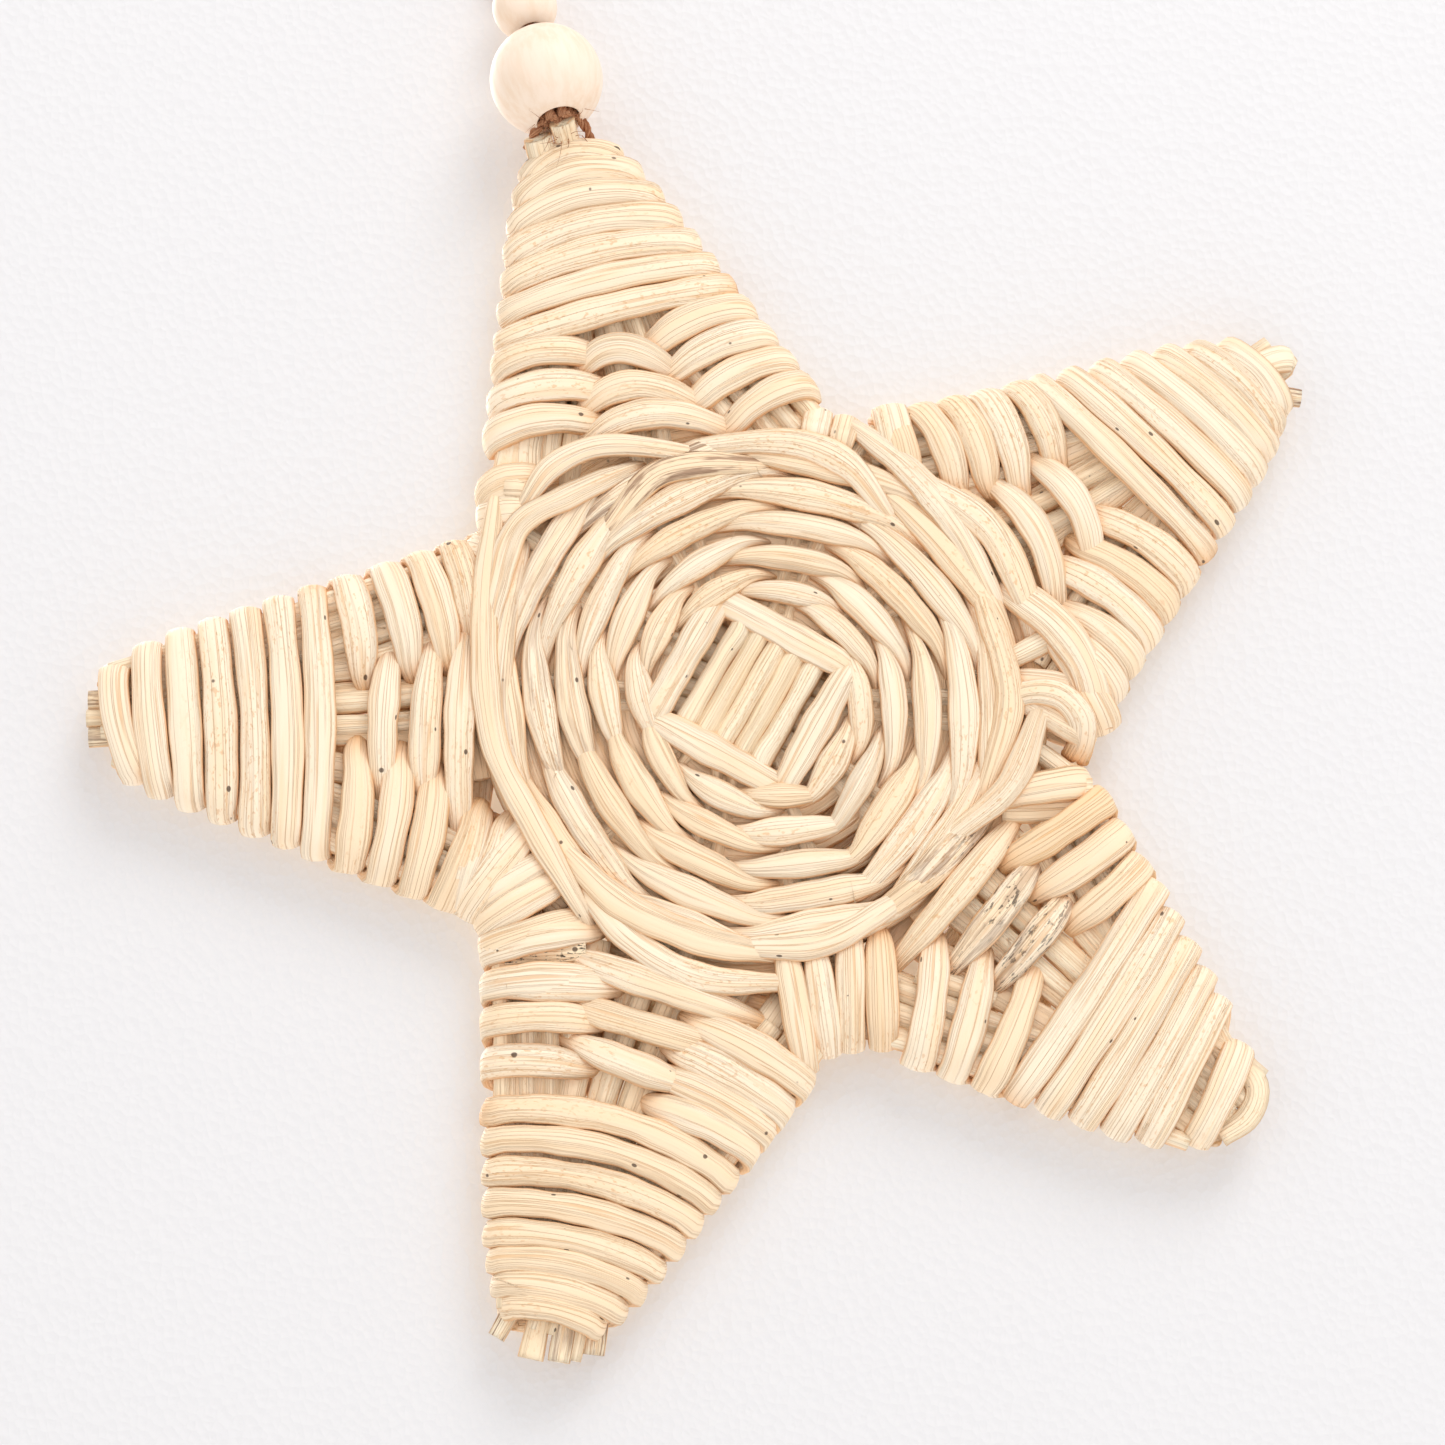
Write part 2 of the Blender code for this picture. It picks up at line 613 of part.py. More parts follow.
def build():
    for old in list(bpy.data.objects):
        bpy.data.objects.remove(old, do_unlink=True)
    weaver = material("rattan_weaver", REED_COLOUR, 0.6)
    stake = material("rattan_stake", STAKE_COLOUR, 0.6)
    wood = material("bead_wood", WOOD_COLOUR, 0.5)
    jute = material("jute_cord", JUTE_COLOUR, 0.9)
    arms = [Arm(index) for index in range(len(ARMS))]

    for number, (layer, place, ends) in enumerate(STAKES):
        name = ("front_stake_" if layer > 0 else "back_stake_") + str(place + 1)
        reed(name, stake_stations(layer, place, ends, arms), stake)
    lashing_level = LAYER_LEVEL + STAKE_HALF + CLEARANCE + LASHING_THICKNESS / 2
    reed("centre_lashing_front", lashing_stations(lashing_level), weaver, closed=True)
    reed("centre_lashing_back", lashing_stations(-lashing_level), weaver, closed=True)
    reed("ring_weaver_1", ring_stations(1), weaver)
    reed("ring_weaver_2", ring_stations(-1), weaver)

    for arm in arms:
        reed(arm.name + "_arm_weaver", row_stations(arm) + wrap_stations(arm), weaver)
        for hand, word in ((1, "first"), (-1, "second")):
            reed(arm.name + "_arm_side_stake_" + word, side_stake_stations(arm, hand), stake)

    for index, name in enumerate(NOTCH_NAMES):
        for word, stations in notch_bands(index, arms):
            reed(name + "_corner_band_" + word, stations, weaver)

    bead("large_bead", LARGE_BEAD, LARGE_BORE, 0.0, wood)
    bead("small_bead", SMALL_BEAD, SMALL_BORE, SMALL_BEAD_RISE, wood)
    cord("bead_cord", cord_route(arms), jute)
    knot(jute)
    cord("hanging_loop", loop_route(), jute)


build()
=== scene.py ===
# %% [markdown]
# A woven rattan star with two wooden beads on a jute cord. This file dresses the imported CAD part:
# it lays real-looking reeds where the plain ones are, adds the beads, the cord and the finishes, and
# sets up the light and the camera. The star hangs upright and its face looks along -Y.

import math
import random

import bmesh
import bpy
import numpy as np
from mathutils import Matrix, Vector

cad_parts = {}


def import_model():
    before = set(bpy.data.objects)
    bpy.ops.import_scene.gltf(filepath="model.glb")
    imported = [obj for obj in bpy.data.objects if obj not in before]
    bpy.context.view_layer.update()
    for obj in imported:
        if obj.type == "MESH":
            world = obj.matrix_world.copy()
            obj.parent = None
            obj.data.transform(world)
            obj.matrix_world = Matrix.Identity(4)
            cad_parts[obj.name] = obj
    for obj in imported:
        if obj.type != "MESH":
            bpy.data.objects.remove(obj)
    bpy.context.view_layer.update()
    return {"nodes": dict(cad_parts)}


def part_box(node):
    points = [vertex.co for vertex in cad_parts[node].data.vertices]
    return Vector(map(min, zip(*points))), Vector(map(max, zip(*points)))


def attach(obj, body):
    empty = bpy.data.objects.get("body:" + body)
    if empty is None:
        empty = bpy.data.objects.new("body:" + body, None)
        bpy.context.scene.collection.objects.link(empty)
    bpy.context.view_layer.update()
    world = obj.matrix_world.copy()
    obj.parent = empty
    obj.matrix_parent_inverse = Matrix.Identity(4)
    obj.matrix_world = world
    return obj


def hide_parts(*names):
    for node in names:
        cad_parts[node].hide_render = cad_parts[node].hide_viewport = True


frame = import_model()
bpy.ops.object.select_all(action="DESELECT")

# %% [markdown]
# All places on the star are in millimetres in its own plan: x to the right, z up and a level towards
# the viewer, from the middle of the star. The loop's top is the world's origin, so the beads of the
# frame tell how far below it the star's middle is.

# %% The star's own millimetres
MM = 0.001
LARGE_BEAD = 14.5
SMALL_BEAD = 8.4
BEAD_X = -3.7
BEAD_Z = 84.1
BEAD_FORWARD = 3.4
BEAD_LEAN = math.radians(15.0)
bead_low, bead_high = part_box("large_bead")
LOOP_TOP = BEAD_Z - (bead_low[2] + bead_high[2]) / 2 / MM
print("the star's middle is", round(LOOP_TOP, 2), "mm under the loop's top")


def world(x, z, level=0.0):
    """A place in the star's plan as a point in metres."""
    return Vector((x, -level, z - LOOP_TOP)) * MM


def polar(radius, degrees):
    """A place in the plan by its distance from the middle and its direction."""
    angle = math.radians(degrees)
    return Vector((radius * math.cos(angle), radius * math.sin(angle)))


def square_to(direction):
    """The direction a quarter turn to the left."""
    return Vector((-direction.y, direction.x))


# %% [markdown]
# A reed is a flat oval strip of rattan core with fine ribs along it. It is modelled once, straight
# and one unit long: a cylinder whose long edges are cut into rings. Each reed of the star is a copy
# that is bent along its own route. A curve with a bevel could do it too, but it can't make a reed
# wider and thinner in different places, or keep it flat round an edge, so the bending is done here.

# %% The straight reed
SECTION_SIDES = 18
# The seam of the pattern is at the underside, a quarter turn from the reed's edge
SEAM_TURN = 0.25


def straight_reed(lengths):
    """The corners and faces of a straight reed that is cut into that many lengths."""
    bpy.ops.mesh.primitive_cylinder_add(vertices=SECTION_SIDES, radius=1.0, depth=1.0,
                                        location=(0.5, 0.0, 0.0), rotation=(0.0, math.pi / 2, 0.0))
    blank = bpy.context.object
    bpy.ops.object.transform_apply(location=True, rotation=True, scale=True)
    bpy.ops.object.mode_set(mode="EDIT")
    shape = bmesh.from_edit_mesh(blank.data)
    for part in (*shape.verts, *shape.edges, *shape.faces):
        part.select = False
    for edge in shape.edges:
        edge.select = abs(edge.verts[0].co.x - edge.verts[1].co.x) > 0.5
    bpy.ops.mesh.subdivide_edgering(number_cuts=lengths - 1, interpolation="LINEAR", smoothness=0.0)
    bpy.ops.object.mode_set(mode="OBJECT")
    mesh = blank.data
    corners = np.empty(len(mesh.vertices) * 3)
    mesh.vertices.foreach_get("co", corners)
    corners = corners.reshape(-1, 3)
    walls = np.array([face.vertices[:] for face in mesh.polygons if len(face.vertices) == 4])
    caps = np.array([face.vertices[:] for face in mesh.polygons if len(face.vertices) > 4])
    bpy.data.objects.remove(blank, do_unlink=True)
    bpy.data.meshes.remove(mesh)
    ring = np.rint(corners[:, 0] * lengths).astype(int)
    turn = (np.arctan2(corners[:, 2], corners[:, 1]) / (2 * math.pi) + SEAM_TURN) % 1.0
    return {"ring": ring, "turn": turn, "walls": walls, "caps": caps}


LENGTHS = (6, 10, 16, 24, 36, 54, 80, 120, 180, 270, 400, 600)
BLANKS = {count: straight_reed(count) for count in LENGTHS}
print(len(BLANKS), "straight reeds, up to", max(BLANKS), "lengths")

# %% [markdown]
# A route is a list of stops. Each stop has a place, the direction of the reed's width, and its width
# and thickness there. A smooth line goes through the stops, and the reed's rings are spread evenly
# along it.

# %% Routes
REED_THICKNESS = 1.9
REED_WIDTH = 3.9
RING_SPACING = 0.85
# Steps between two stops before the rings are spread, and a length that counts as nothing
FINE_STEPS = 12
TINY = 1e-6


def stop(plan, level, across, width=REED_WIDTH, thickness=REED_THICKNESS):
    """One stop of a route. A plan direction for the width is enough."""
    return (plan[0], -level, plan[1], across[0], 0.0, across[1], width, thickness)


def smooth_line(stops, spacing):
    """Points along a smooth line through the stops, evenly spread by length."""
    stops = np.array(stops, float)
    fine = []
    last = len(stops) - 1
    steps = np.linspace(0.0, 1.0, FINE_STEPS, endpoint=False)[:, None]
    for index in range(last):
        start, end = stops[index], stops[index + 1]
        before, after = stops[max(index - 1, 0)], stops[min(index + 2, last)]
        chord = np.linalg.norm(end[:3] - start[:3])
        chord_before = max(np.linalg.norm(start[:3] - before[:3]), TINY)
        chord_after = max(np.linalg.norm(after[:3] - end[:3]), TINY)
        leave = (end - before) * chord / (chord + chord_before)
        arrive = (after - start) * chord / (chord + chord_after)
        fine.append((2 * steps**3 - 3 * steps**2 + 1) * start
                    + (steps**3 - 2 * steps**2 + steps) * leave
                    + (3 * steps**2 - 2 * steps**3) * end
                    + (steps**3 - steps**2) * arrive)
    fine.append(stops[-1:])
    fine = np.concatenate(fine)
    run = np.concatenate(([0.0], np.cumsum(np.linalg.norm(np.diff(fine[:, :3], axis=0), axis=1))))
    wanted = max(run[-1] / spacing, 1.0)
    count = min(BLANKS, key=lambda size: abs(math.log(size / wanted)))
    even = np.linspace(0.0, run[-1], count + 1)
    return np.stack([np.interp(even, run, column) for column in fine.T], axis=1), even


def unit(rows):
    """Each row with length one."""
    return rows / np.maximum(np.linalg.norm(rows, axis=1, keepdims=True), TINY)


# %% [markdown]
# To bend a straight reed, its corners are carried over to the line: each ring is turned square to the
# line, stretched to the width and thickness there, and made a little more square than an oval. The
# broad side always faces away from the star's middle plane.

# %% Bending a reed
RIB_DEPTH = 0.04
SQUARENESS = 0.72
# Painted shade: a reed gets it below this level and within about this length of a diving end
SHADED_BELOW_LEVEL = 2.4
DIVE_LENGTH = 4.5


def facing(line):
    """The middle of the reed, the direction of its width and the one that it faces."""
    middle, across = line[:, :3], line[:, 3:6]
    forward = unit(np.gradient(middle, axis=0))
    across = unit(across - forward * np.sum(across * forward, axis=1, keepdims=True))
    outward = np.cross(forward, across)
    if np.sum(outward[:, 1] * middle[:, 1]) < 0:
        across, outward = -across, -outward
    return middle, across, outward


def squarer(wave):
    """A sine or cosine with fuller shoulders, which makes the oval a little more square."""
    return np.sign(wave) * np.abs(wave) ** SQUARENESS


def bent_corners(blank, line, sway, ribs):
    """The corners of a straight reed once it follows the line."""
    middle, across, outward = facing(line)
    ring = blank["ring"]
    angle = (blank["turn"] - SEAM_TURN) * 2 * math.pi
    side, rise = squarer(np.cos(angle)), squarer(np.sin(angle))
    on_rib = np.rint(blank["turn"] * SECTION_SIDES) % 2 == 0
    rib = RIB_DEPTH * ribs * np.where(on_rib, 1.0, -1.0)
    half_width = line[ring, 6] / 2 * sway[ring]
    half_depth = line[ring, 7] / 2
    return (middle[ring] + across[ring] * (half_width * side)[:, None]
            + outward[ring] * (half_depth * rise + rib * np.sign(rise))[:, None])


def dive_shade_share(line, run):
    """How much painted shade each ring gets: 1 at an end that dives between its neighbours."""
    to_end = np.minimum(run, run[-1] - run)
    low = np.clip(1.0 - np.abs(line[:, 1]) / SHADED_BELOW_LEVEL, 0.0, 1.0)
    return low * np.exp(-(to_end / DIVE_LENGTH) ** 2)


def pattern_places(blank, faces, along):
    """Where the faces lie in the fibre pattern: along the reed and once round it."""
    turns = blank["turn"][faces]
    over_seam = turns.max(axis=1, keepdims=True) - turns.min(axis=1, keepdims=True) > 0.5
    turns = np.where(over_seam & (turns < 0.5), turns + 1.0, turns)
    return np.stack([along[faces].ravel(), turns.ravel()], axis=1)


# %% [markdown]
# Reeds that belong together are gathered in a bundle, which becomes one object. Each point also
# carries four numbers that the finish reads: the strand's own tone, a brown stain, an orange tint,
# and a painted shade for how deep it lies between its neighbours.

# %% Bundles of reeds
WOBBLE = 0.06
PACE = (0.25, 0.5)
SECOND_PACE = 2.7
PATTERN_SHIFT = 400.0


class Bundle:
    """Reeds that end up in one object."""

    def __init__(self, name, seed):
        self.name = name
        self.chance = random.Random(seed)
        self.corners = []
        self.loops = []
        self.sizes = []
        self.places = []
        self.marks = []
        self.count = 0

    def lay(self, stops, stain=0.0, orange=0.0, depth=0.0, dive=1.0, spacing=RING_SPACING, ribs=1.0):
        """Bends a straight reed along the stops and adds it. Painted shade: dive at buried ends, depth
        all along.
        """
        line, run = smooth_line(stops, spacing)
        blank = BLANKS[len(line) - 1]
        ring = blank["ring"]
        phase, pace = self.chance.uniform(0, 2 * math.pi), self.chance.uniform(*PACE)
        sway = (1.0 + WOBBLE * np.sin(run * pace + phase)
                + WOBBLE / 2 * np.sin(run * pace * SECOND_PACE + 2 * phase))
        self.corners.append(bent_corners(blank, line, sway, ribs))
        strand = np.full(len(ring), self.chance.random())
        # Painted shade, kept as the fourth mark: dark at buried ends and all along reeds that lie deep
        deep = np.clip(dive * dive_shade_share(line, run)[ring] + depth, 0.0, 1.0)
        self.marks.append(np.stack([strand, np.full(len(ring), stain), np.full(len(ring), orange), deep],
                                   axis=1))
        along = run[ring] + self.chance.uniform(0.0, PATTERN_SHIFT)
        for faces in (blank["walls"], blank["caps"]):
            self.loops.append((faces + self.count).ravel())
            self.sizes.append(np.full(len(faces), faces.shape[1]))
            self.places.append(pattern_places(blank, faces, along))
        self.count += len(ring)

    def make(self, finish, slot, *nodes):
        """Turns the gathered reeds into an object that stands for the given CAD nodes."""
        corners = np.concatenate(self.corners)
        loops, sizes = np.concatenate(self.loops), np.concatenate(self.sizes)
        mesh = bpy.data.meshes.new(self.name)
        mesh.vertices.add(len(corners))
        mesh.vertices.foreach_set("co", ((corners - (0.0, 0.0, LOOP_TOP)) * MM).ravel())
        mesh.loops.add(len(loops))
        mesh.loops.foreach_set("vertex_index", loops)
        mesh.polygons.add(len(sizes))
        mesh.polygons.foreach_set("loop_start", np.cumsum(sizes) - sizes)
        mesh.update(calc_edges=True)
        mesh.uv_layers.new(name="fibre").data.foreach_set("uv", np.concatenate(self.places).ravel())
        marks = mesh.attributes.new("strand", "FLOAT_COLOR", "POINT")
        marks.data.foreach_set("color", np.concatenate(self.marks).ravel())
        mesh.shade_smooth()
        mesh.materials.append(finish)
        piece = bpy.data.objects.new(self.name, mesh)
        bpy.context.collection.objects.link(piece)
        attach(piece, "root")
        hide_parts(*nodes)
        triangles = int(np.sum(sizes - 2))
        print(self.name, len(self.corners), "reeds,", triangles, "triangles")
        return piece


# %% [markdown]
# The finish of the reeds comes in two node groups. The first makes the fibres: long fine streaks that
# follow the reed, because it reads the pattern coordinates that run along it in millimetres. The
# second adds what age and handling left: dark specks, short scratches, brown stains and tints.

# %% Node helpers
def feed(tree, node, *values):
    """Fills a node's inputs in order with sockets or numbers."""
    for target, value in zip(node.inputs, values):
        if isinstance(value, bpy.types.NodeSocket):
            tree.links.new(value, target)
        elif value is not None:
            target.default_value = value
    return node.outputs[0]


def calc(tree, operation, *values, clamp=False):
    """A Math node on sockets or numbers."""
    node = tree.nodes.new("ShaderNodeMath")
    node.operation = operation
    node.use_clamp = clamp
    return feed(tree, node, *values)


def mix_colour(tree, share, first, second):
    """The first colour with a share of the second one over it."""
    node = tree.nodes.new("ShaderNodeMix")
    node.data_type = "RGBA"
    for name, value in (("Factor_Float", share), ("A_Color", first), ("B_Color", second)):
        target = next(entry for entry in node.inputs if entry.identifier == name)
        if isinstance(value, bpy.types.NodeSocket):
            tree.links.new(value, target)
        else:
            target.default_value = value
    return next(entry for entry in node.outputs if entry.identifier == "Result_Color")


def ramp(tree, value, low, high):
    """0 below low, 1 above high, and smooth between."""
    node = tree.nodes.new("ShaderNodeMapRange")
    node.interpolation_type = "SMOOTHSTEP"
    return feed(tree, node, value, low, high, 0.0, 1.0)


def noise(tree, vector, scale, detail=3.0, roughness=0.5):
    """Soft random values over a place."""
    node = tree.nodes.new("ShaderNodeTexNoise")
    tree.links.new(vector, node.inputs["Vector"])
    node.inputs["Scale"].default_value = scale
    node.inputs["Detail"].default_value = detail
    node.inputs["Roughness"].default_value = roughness
    return node.outputs[0]


def combine(tree, *values):
    """A place from its three coordinates."""
    return feed(tree, tree.nodes.new("ShaderNodeCombineXYZ"), *values)


def new_finish(name):
    """A new material with its node tree and its shader."""
    finish = bpy.data.materials.new(name)
    finish.use_nodes = True
    tree = finish.node_tree
    return finish, tree, tree.nodes["Principled BSDF"]


def fibre_place(tree):
    """The place along the reed in millimetres and the turn round it."""
    place = tree.nodes.new("ShaderNodeUVMap")
    place.uv_map = "fibre"
    split = tree.nodes.new("ShaderNodeSeparateXYZ")
    tree.links.new(place.outputs[0], split.inputs[0])
    return split.outputs[0], split.outputs[1]


def relief(tree, shader, height, strength, depth):
    """Bump from a height over the surface. depth is in millimetres."""
    bump = tree.nodes.new("ShaderNodeBump")
    bump.inputs["Strength"].default_value = strength
    bump.inputs["Distance"].default_value = depth * MM
    tree.links.new(height, bump.inputs["Height"])
    tree.links.new(bump.outputs[0], shader.inputs["Normal"])


def new_group(name, inputs, outputs):
    """An empty node group with its inside inputs and outputs. Each comes as a name and a kind."""
    tree = bpy.data.node_groups.new(name, "ShaderNodeTree")
    for label, kind in inputs:
        tree.interface.new_socket(label, in_out="INPUT", socket_type="NodeSocket" + kind)
    for label, kind in outputs:
        tree.interface.new_socket(label, in_out="OUTPUT", socket_type="NodeSocket" + kind)
    return tree, tree.nodes.new("NodeGroupInput").outputs, tree.nodes.new("NodeGroupOutput").inputs


# %% The fibre group
def fibre_group():
    """Streaks and ribs along a reed. Length is in millimetres, Turn goes once round the reed."""
    tree, given, wanted = new_group(
        "reed fibre", (("Length", "Float"), ("Turn", "Float"), ("Tone", "Float"), ("Ribs", "Float")),
        (("Streak", "Float"), ("Lines", "Float"), ("Height", "Float")))
    strand = calc(tree, "MULTIPLY", given["Tone"], 71.0)
    around = calc(tree, "MULTIPLY", given["Turn"], given["Ribs"])

    def streaks(along_scale, around_scale, detail):
        place = combine(tree, calc(tree, "MULTIPLY", given["Length"], along_scale),
                        calc(tree, "MULTIPLY", around, around_scale), strand)
        return noise(tree, place, 1.0, detail, 0.6)

    broad = streaks(0.045, 0.30, 3.0)
    rib = streaks(0.022, 1.0, 1.0)
    hair = streaks(0.09, 2.1, 2.0)
    # A line runs wherever the rib pattern passes its middle value
    away = calc(tree, "ABSOLUTE", calc(tree, "SUBTRACT", rib, 0.5))
    line = calc(tree, "SUBTRACT", 1.0, ramp(tree, away, 0.004, 0.05))
    strength = ramp(tree, streaks(0.12, 0.7, 1.0), 0.34, 0.62)
    tree.links.new(broad, wanted["Streak"])
    tree.links.new(calc(tree, "MULTIPLY", line, strength), wanted["Lines"])
    height = calc(tree, "SUBTRACT", calc(tree, "MULTIPLY", hair, 0.5),
                  calc(tree, "MULTIPLY", line, 0.45))
    tree.links.new(calc(tree, "ADD", height, calc(tree, "MULTIPLY", rib, 0.4)), wanted["Height"])
    return tree


# %% The wear group
def wear_group():
    """Marks that lie along the reed: single dark specks, fine pepper, brown streaks and black pits.
    Stain runs from 0 over 1, which is brown streaks, to 2, which is black pits."""
    tree, given, wanted = new_group(
        "reed wear", (("Length", "Float"), ("Turn", "Float"), ("Tone", "Float"), ("Stain", "Float")),
        (("Specks", "Float"), ("Pepper", "Float"), ("Stains", "Float"), ("Pits", "Float")))
    strand = calc(tree, "MULTIPLY", given["Tone"], 37.0)

    def spread(along_scale, around_scale):
        return combine(tree, calc(tree, "MULTIPLY", given["Length"], along_scale),
                       calc(tree, "MULTIPLY", given["Turn"], around_scale), strand)

    cells = tree.nodes.new("ShaderNodeTexVoronoi")
    cells.inputs["Scale"].default_value = 1.0
    tree.links.new(spread(0.30, 5.0), cells.inputs["Vector"])
    chosen = tree.nodes.new("ShaderNodeSeparateColor")
    tree.links.new(cells.outputs["Color"], chosen.inputs[0])
    size = calc(tree, "MULTIPLY", ramp(tree, chosen.outputs[0], 0.50, 1.0), 0.12)
    near = calc(tree, "SUBTRACT", size, cells.outputs["Distance"])
    tree.links.new(ramp(tree, near, -0.01, 0.03), wanted["Specks"])
    dust = noise(tree, spread(1.3, 44.0), 1.0, 2.0)
    where = noise(tree, spread(0.05, 1.6), 1.0, 2.0)
    pepper = calc(tree, "MULTIPLY", ramp(tree, dust, 0.56, 0.68), ramp(tree, where, 0.46, 0.62))
    tree.links.new(pepper, wanted["Pepper"])
    to_black = calc(tree, "SUBTRACT", 2.0, given["Stain"])
    brown = calc(tree, "MULTIPLY", given["Stain"], to_black, clamp=True)
    streaks = noise(tree, spread(0.13, 15.0), 1.0, 3.0, 0.6)
    tree.links.new(calc(tree, "MULTIPLY", ramp(tree, streaks, 0.47, 0.60), brown), wanted["Stains"])
    black = calc(tree, "SUBTRACT", given["Stain"], 1.0, clamp=True)
    grooves = noise(tree, spread(0.75, 27.0), 1.0, 3.0, 0.65)
    patch = noise(tree, spread(0.12, 2.6), 1.0, 1.0)
    pits = calc(tree, "MULTIPLY", ramp(tree, grooves, 0.55, 0.63), ramp(tree, patch, 0.40, 0.52))
    tree.links.new(calc(tree, "MULTIPLY", pits, black), wanted["Pits"])
    return tree


FIBRE = fibre_group()
WEAR = wear_group()
print("node groups", FIBRE.name, "and", WEAR.name)


# %% The rattan finish
SPECK = (0.07, 0.035, 0.02, 1.0)
STAIN = (0.24, 0.10, 0.05, 1.0)
PIT = (0.03, 0.02, 0.016, 1.0)
ORANGE_TINT = (0.86, 0.46, 0.13, 1.0)
# Warm brown of the painted shade at the reeds' edges and in their crevices
PAINTED_SHADE_BROWN = (0.83, 0.41, 0.14, 1.0)
RIBS_ROUND = 26.0
# Where round a reed's section the painted edge shade begins
SHADED_EDGE_FROM = 0.80


def rattan(name, pale, deep, brown, roughness):
    """Bare rattan core: pale, with fine lines and deeper streaks, and a painted warm brown shade at its
    edges and where it is buried.
    """
    finish, tree, shader = new_finish(name)
    along, turn = fibre_place(tree)
    marks = tree.nodes.new("ShaderNodeAttribute")
    marks.attribute_name = "strand"
    own = tree.nodes.new("ShaderNodeSeparateColor")
    tree.links.new(marks.outputs["Color"], own.inputs[0])
    tone, stain, orange = own.outputs[:3]
    fibre = tree.nodes.new("ShaderNodeGroup")
    fibre.node_tree = FIBRE
    feed(tree, fibre, along, turn, tone, RIBS_ROUND)
    wear = tree.nodes.new("ShaderNodeGroup")
    wear.node_tree = WEAR
    feed(tree, wear, along, turn, tone, stain)
    # Painted shade mask: 1 at the reed's two edges, 0 on its broad faces
    side = calc(tree, "ABSOLUTE", calc(tree, "SINE", calc(tree, "MULTIPLY", turn, 2 * math.pi)))
    edge = ramp(tree, side, SHADED_EDGE_FROM, 1.0)
    # Each layer: where it lies, its strength and its colour
    streak = ramp(tree, fibre.outputs["Streak"], 0.40, 0.66)
    dark_strand = ramp(tree, tone, 0.5, 1.0)
    layers = ((streak, 0.75, deep),
              (dark_strand, 0.7, deep),
              (fibre.outputs["Lines"], 0.55, brown),
              (wear.outputs["Pepper"], 0.55, brown),
              (orange, 0.60, ORANGE_TINT),
              # Painted shade at the reed's edges
              (edge, 0.62, PAINTED_SHADE_BROWN),
              # Painted shade from the fourth mark, at diving ends and on deep linings
              (marks.outputs["Alpha"], 0.70, PAINTED_SHADE_BROWN),
              (wear.outputs["Stains"], 0.85, STAIN),
              (wear.outputs["Specks"], 0.85, SPECK),
              (wear.outputs["Pits"], 1.0, PIT))
    colour = pale
    for where, strength, paint in layers:
        colour = mix_colour(tree, calc(tree, "MULTIPLY", where, strength), colour, paint)
    tree.links.new(colour, shader.inputs["Base Color"])
    rough = calc(tree, "MULTIPLY_ADD", fibre.outputs["Streak"], 0.2, roughness)
    tree.links.new(rough, shader.inputs["Roughness"])
    relief(tree, shader, fibre.outputs["Height"], 0.75, 0.3)
    shader.inputs["Specular IOR Level"].default_value = 0.3
    return finish


# Pale, deep and brown tone, and roughness
PEELED = rattan("rattan_weaver", (0.975, 0.815, 0.62, 1), (0.96, 0.72, 0.47, 1),
                (0.72, 0.40, 0.17, 1), 0.42)
BARE = rattan("rattan_stake", (0.985, 0.84, 0.63, 1), (0.97, 0.76, 0.51, 1),
              (0.80, 0.50, 0.25, 1), 0.48)
print("finishes", PEELED.name, BARE.name)

# %% [markdown]
# The round middle: two reeds are twined round ten spokes, each in front of one spoke and behind the
# next. Five courses are laid here, and the long strands of the rim further on are the sixth. The
# places of the spokes and courses are those of the CAD part. The reeds swell into a lens shape over
# each spoke and narrow where they dive between two of them.

# %% Spokes and courses
SPOKES = (20.5, 55.0, 97.0, 131.0, 165.0, 205.0, 238.5, 270.5, 302.8, 340.0)
FIRST_COURSE = 13.6
COURSE_PITCH = 4.25
COURSES = 5


def gap_angles(spoke):
    """The directions midway between a spoke and its two neighbours."""
    angle = SPOKES[spoke]
    before = (angle - SPOKES[spoke - 1]) % 360.0
    after = (SPOKES[(spoke + 1) % len(SPOKES)] - angle) % 360.0
    return angle - before / 2, angle + after / 2


# Share of the way between the gaps, slant outwards, level and share of the width
LENS = ((-0.38, -1.2, -0.1, 0.28), (-0.20, -1.2, 1.4, 0.42), (0.0, -0.95, 2.05, 0.64),
        (0.22, -0.5, 2.5, 0.92), (0.5, 0.0, 2.7, 1.04), (0.78, 0.5, 2.5, 0.92),
        (1.0, 0.95, 2.05, 0.64), (1.20, 1.2, 1.4, 0.42), (1.38, 1.2, -0.1, 0.28))
INNER_WIDTH = 3.3
WIDTH_STEP = 0.17
# How much single strands differ: in degrees, in radius and width, in slant and in level
ANGLE_PLAY = 2.5
SIZE_PLAY = 0.3
SLANT = (0.9, 1.25)
LIFT = (-0.15, 0.2)
# Between two spokes a strand runs a little straighter than a circle, up to a limit
FLATTENING = 0.03
FLAT_LIMIT = 1.2
# The twining slants the other way over the spokes of the lower side
TURNED_SIDE = (200.0, 300.0)


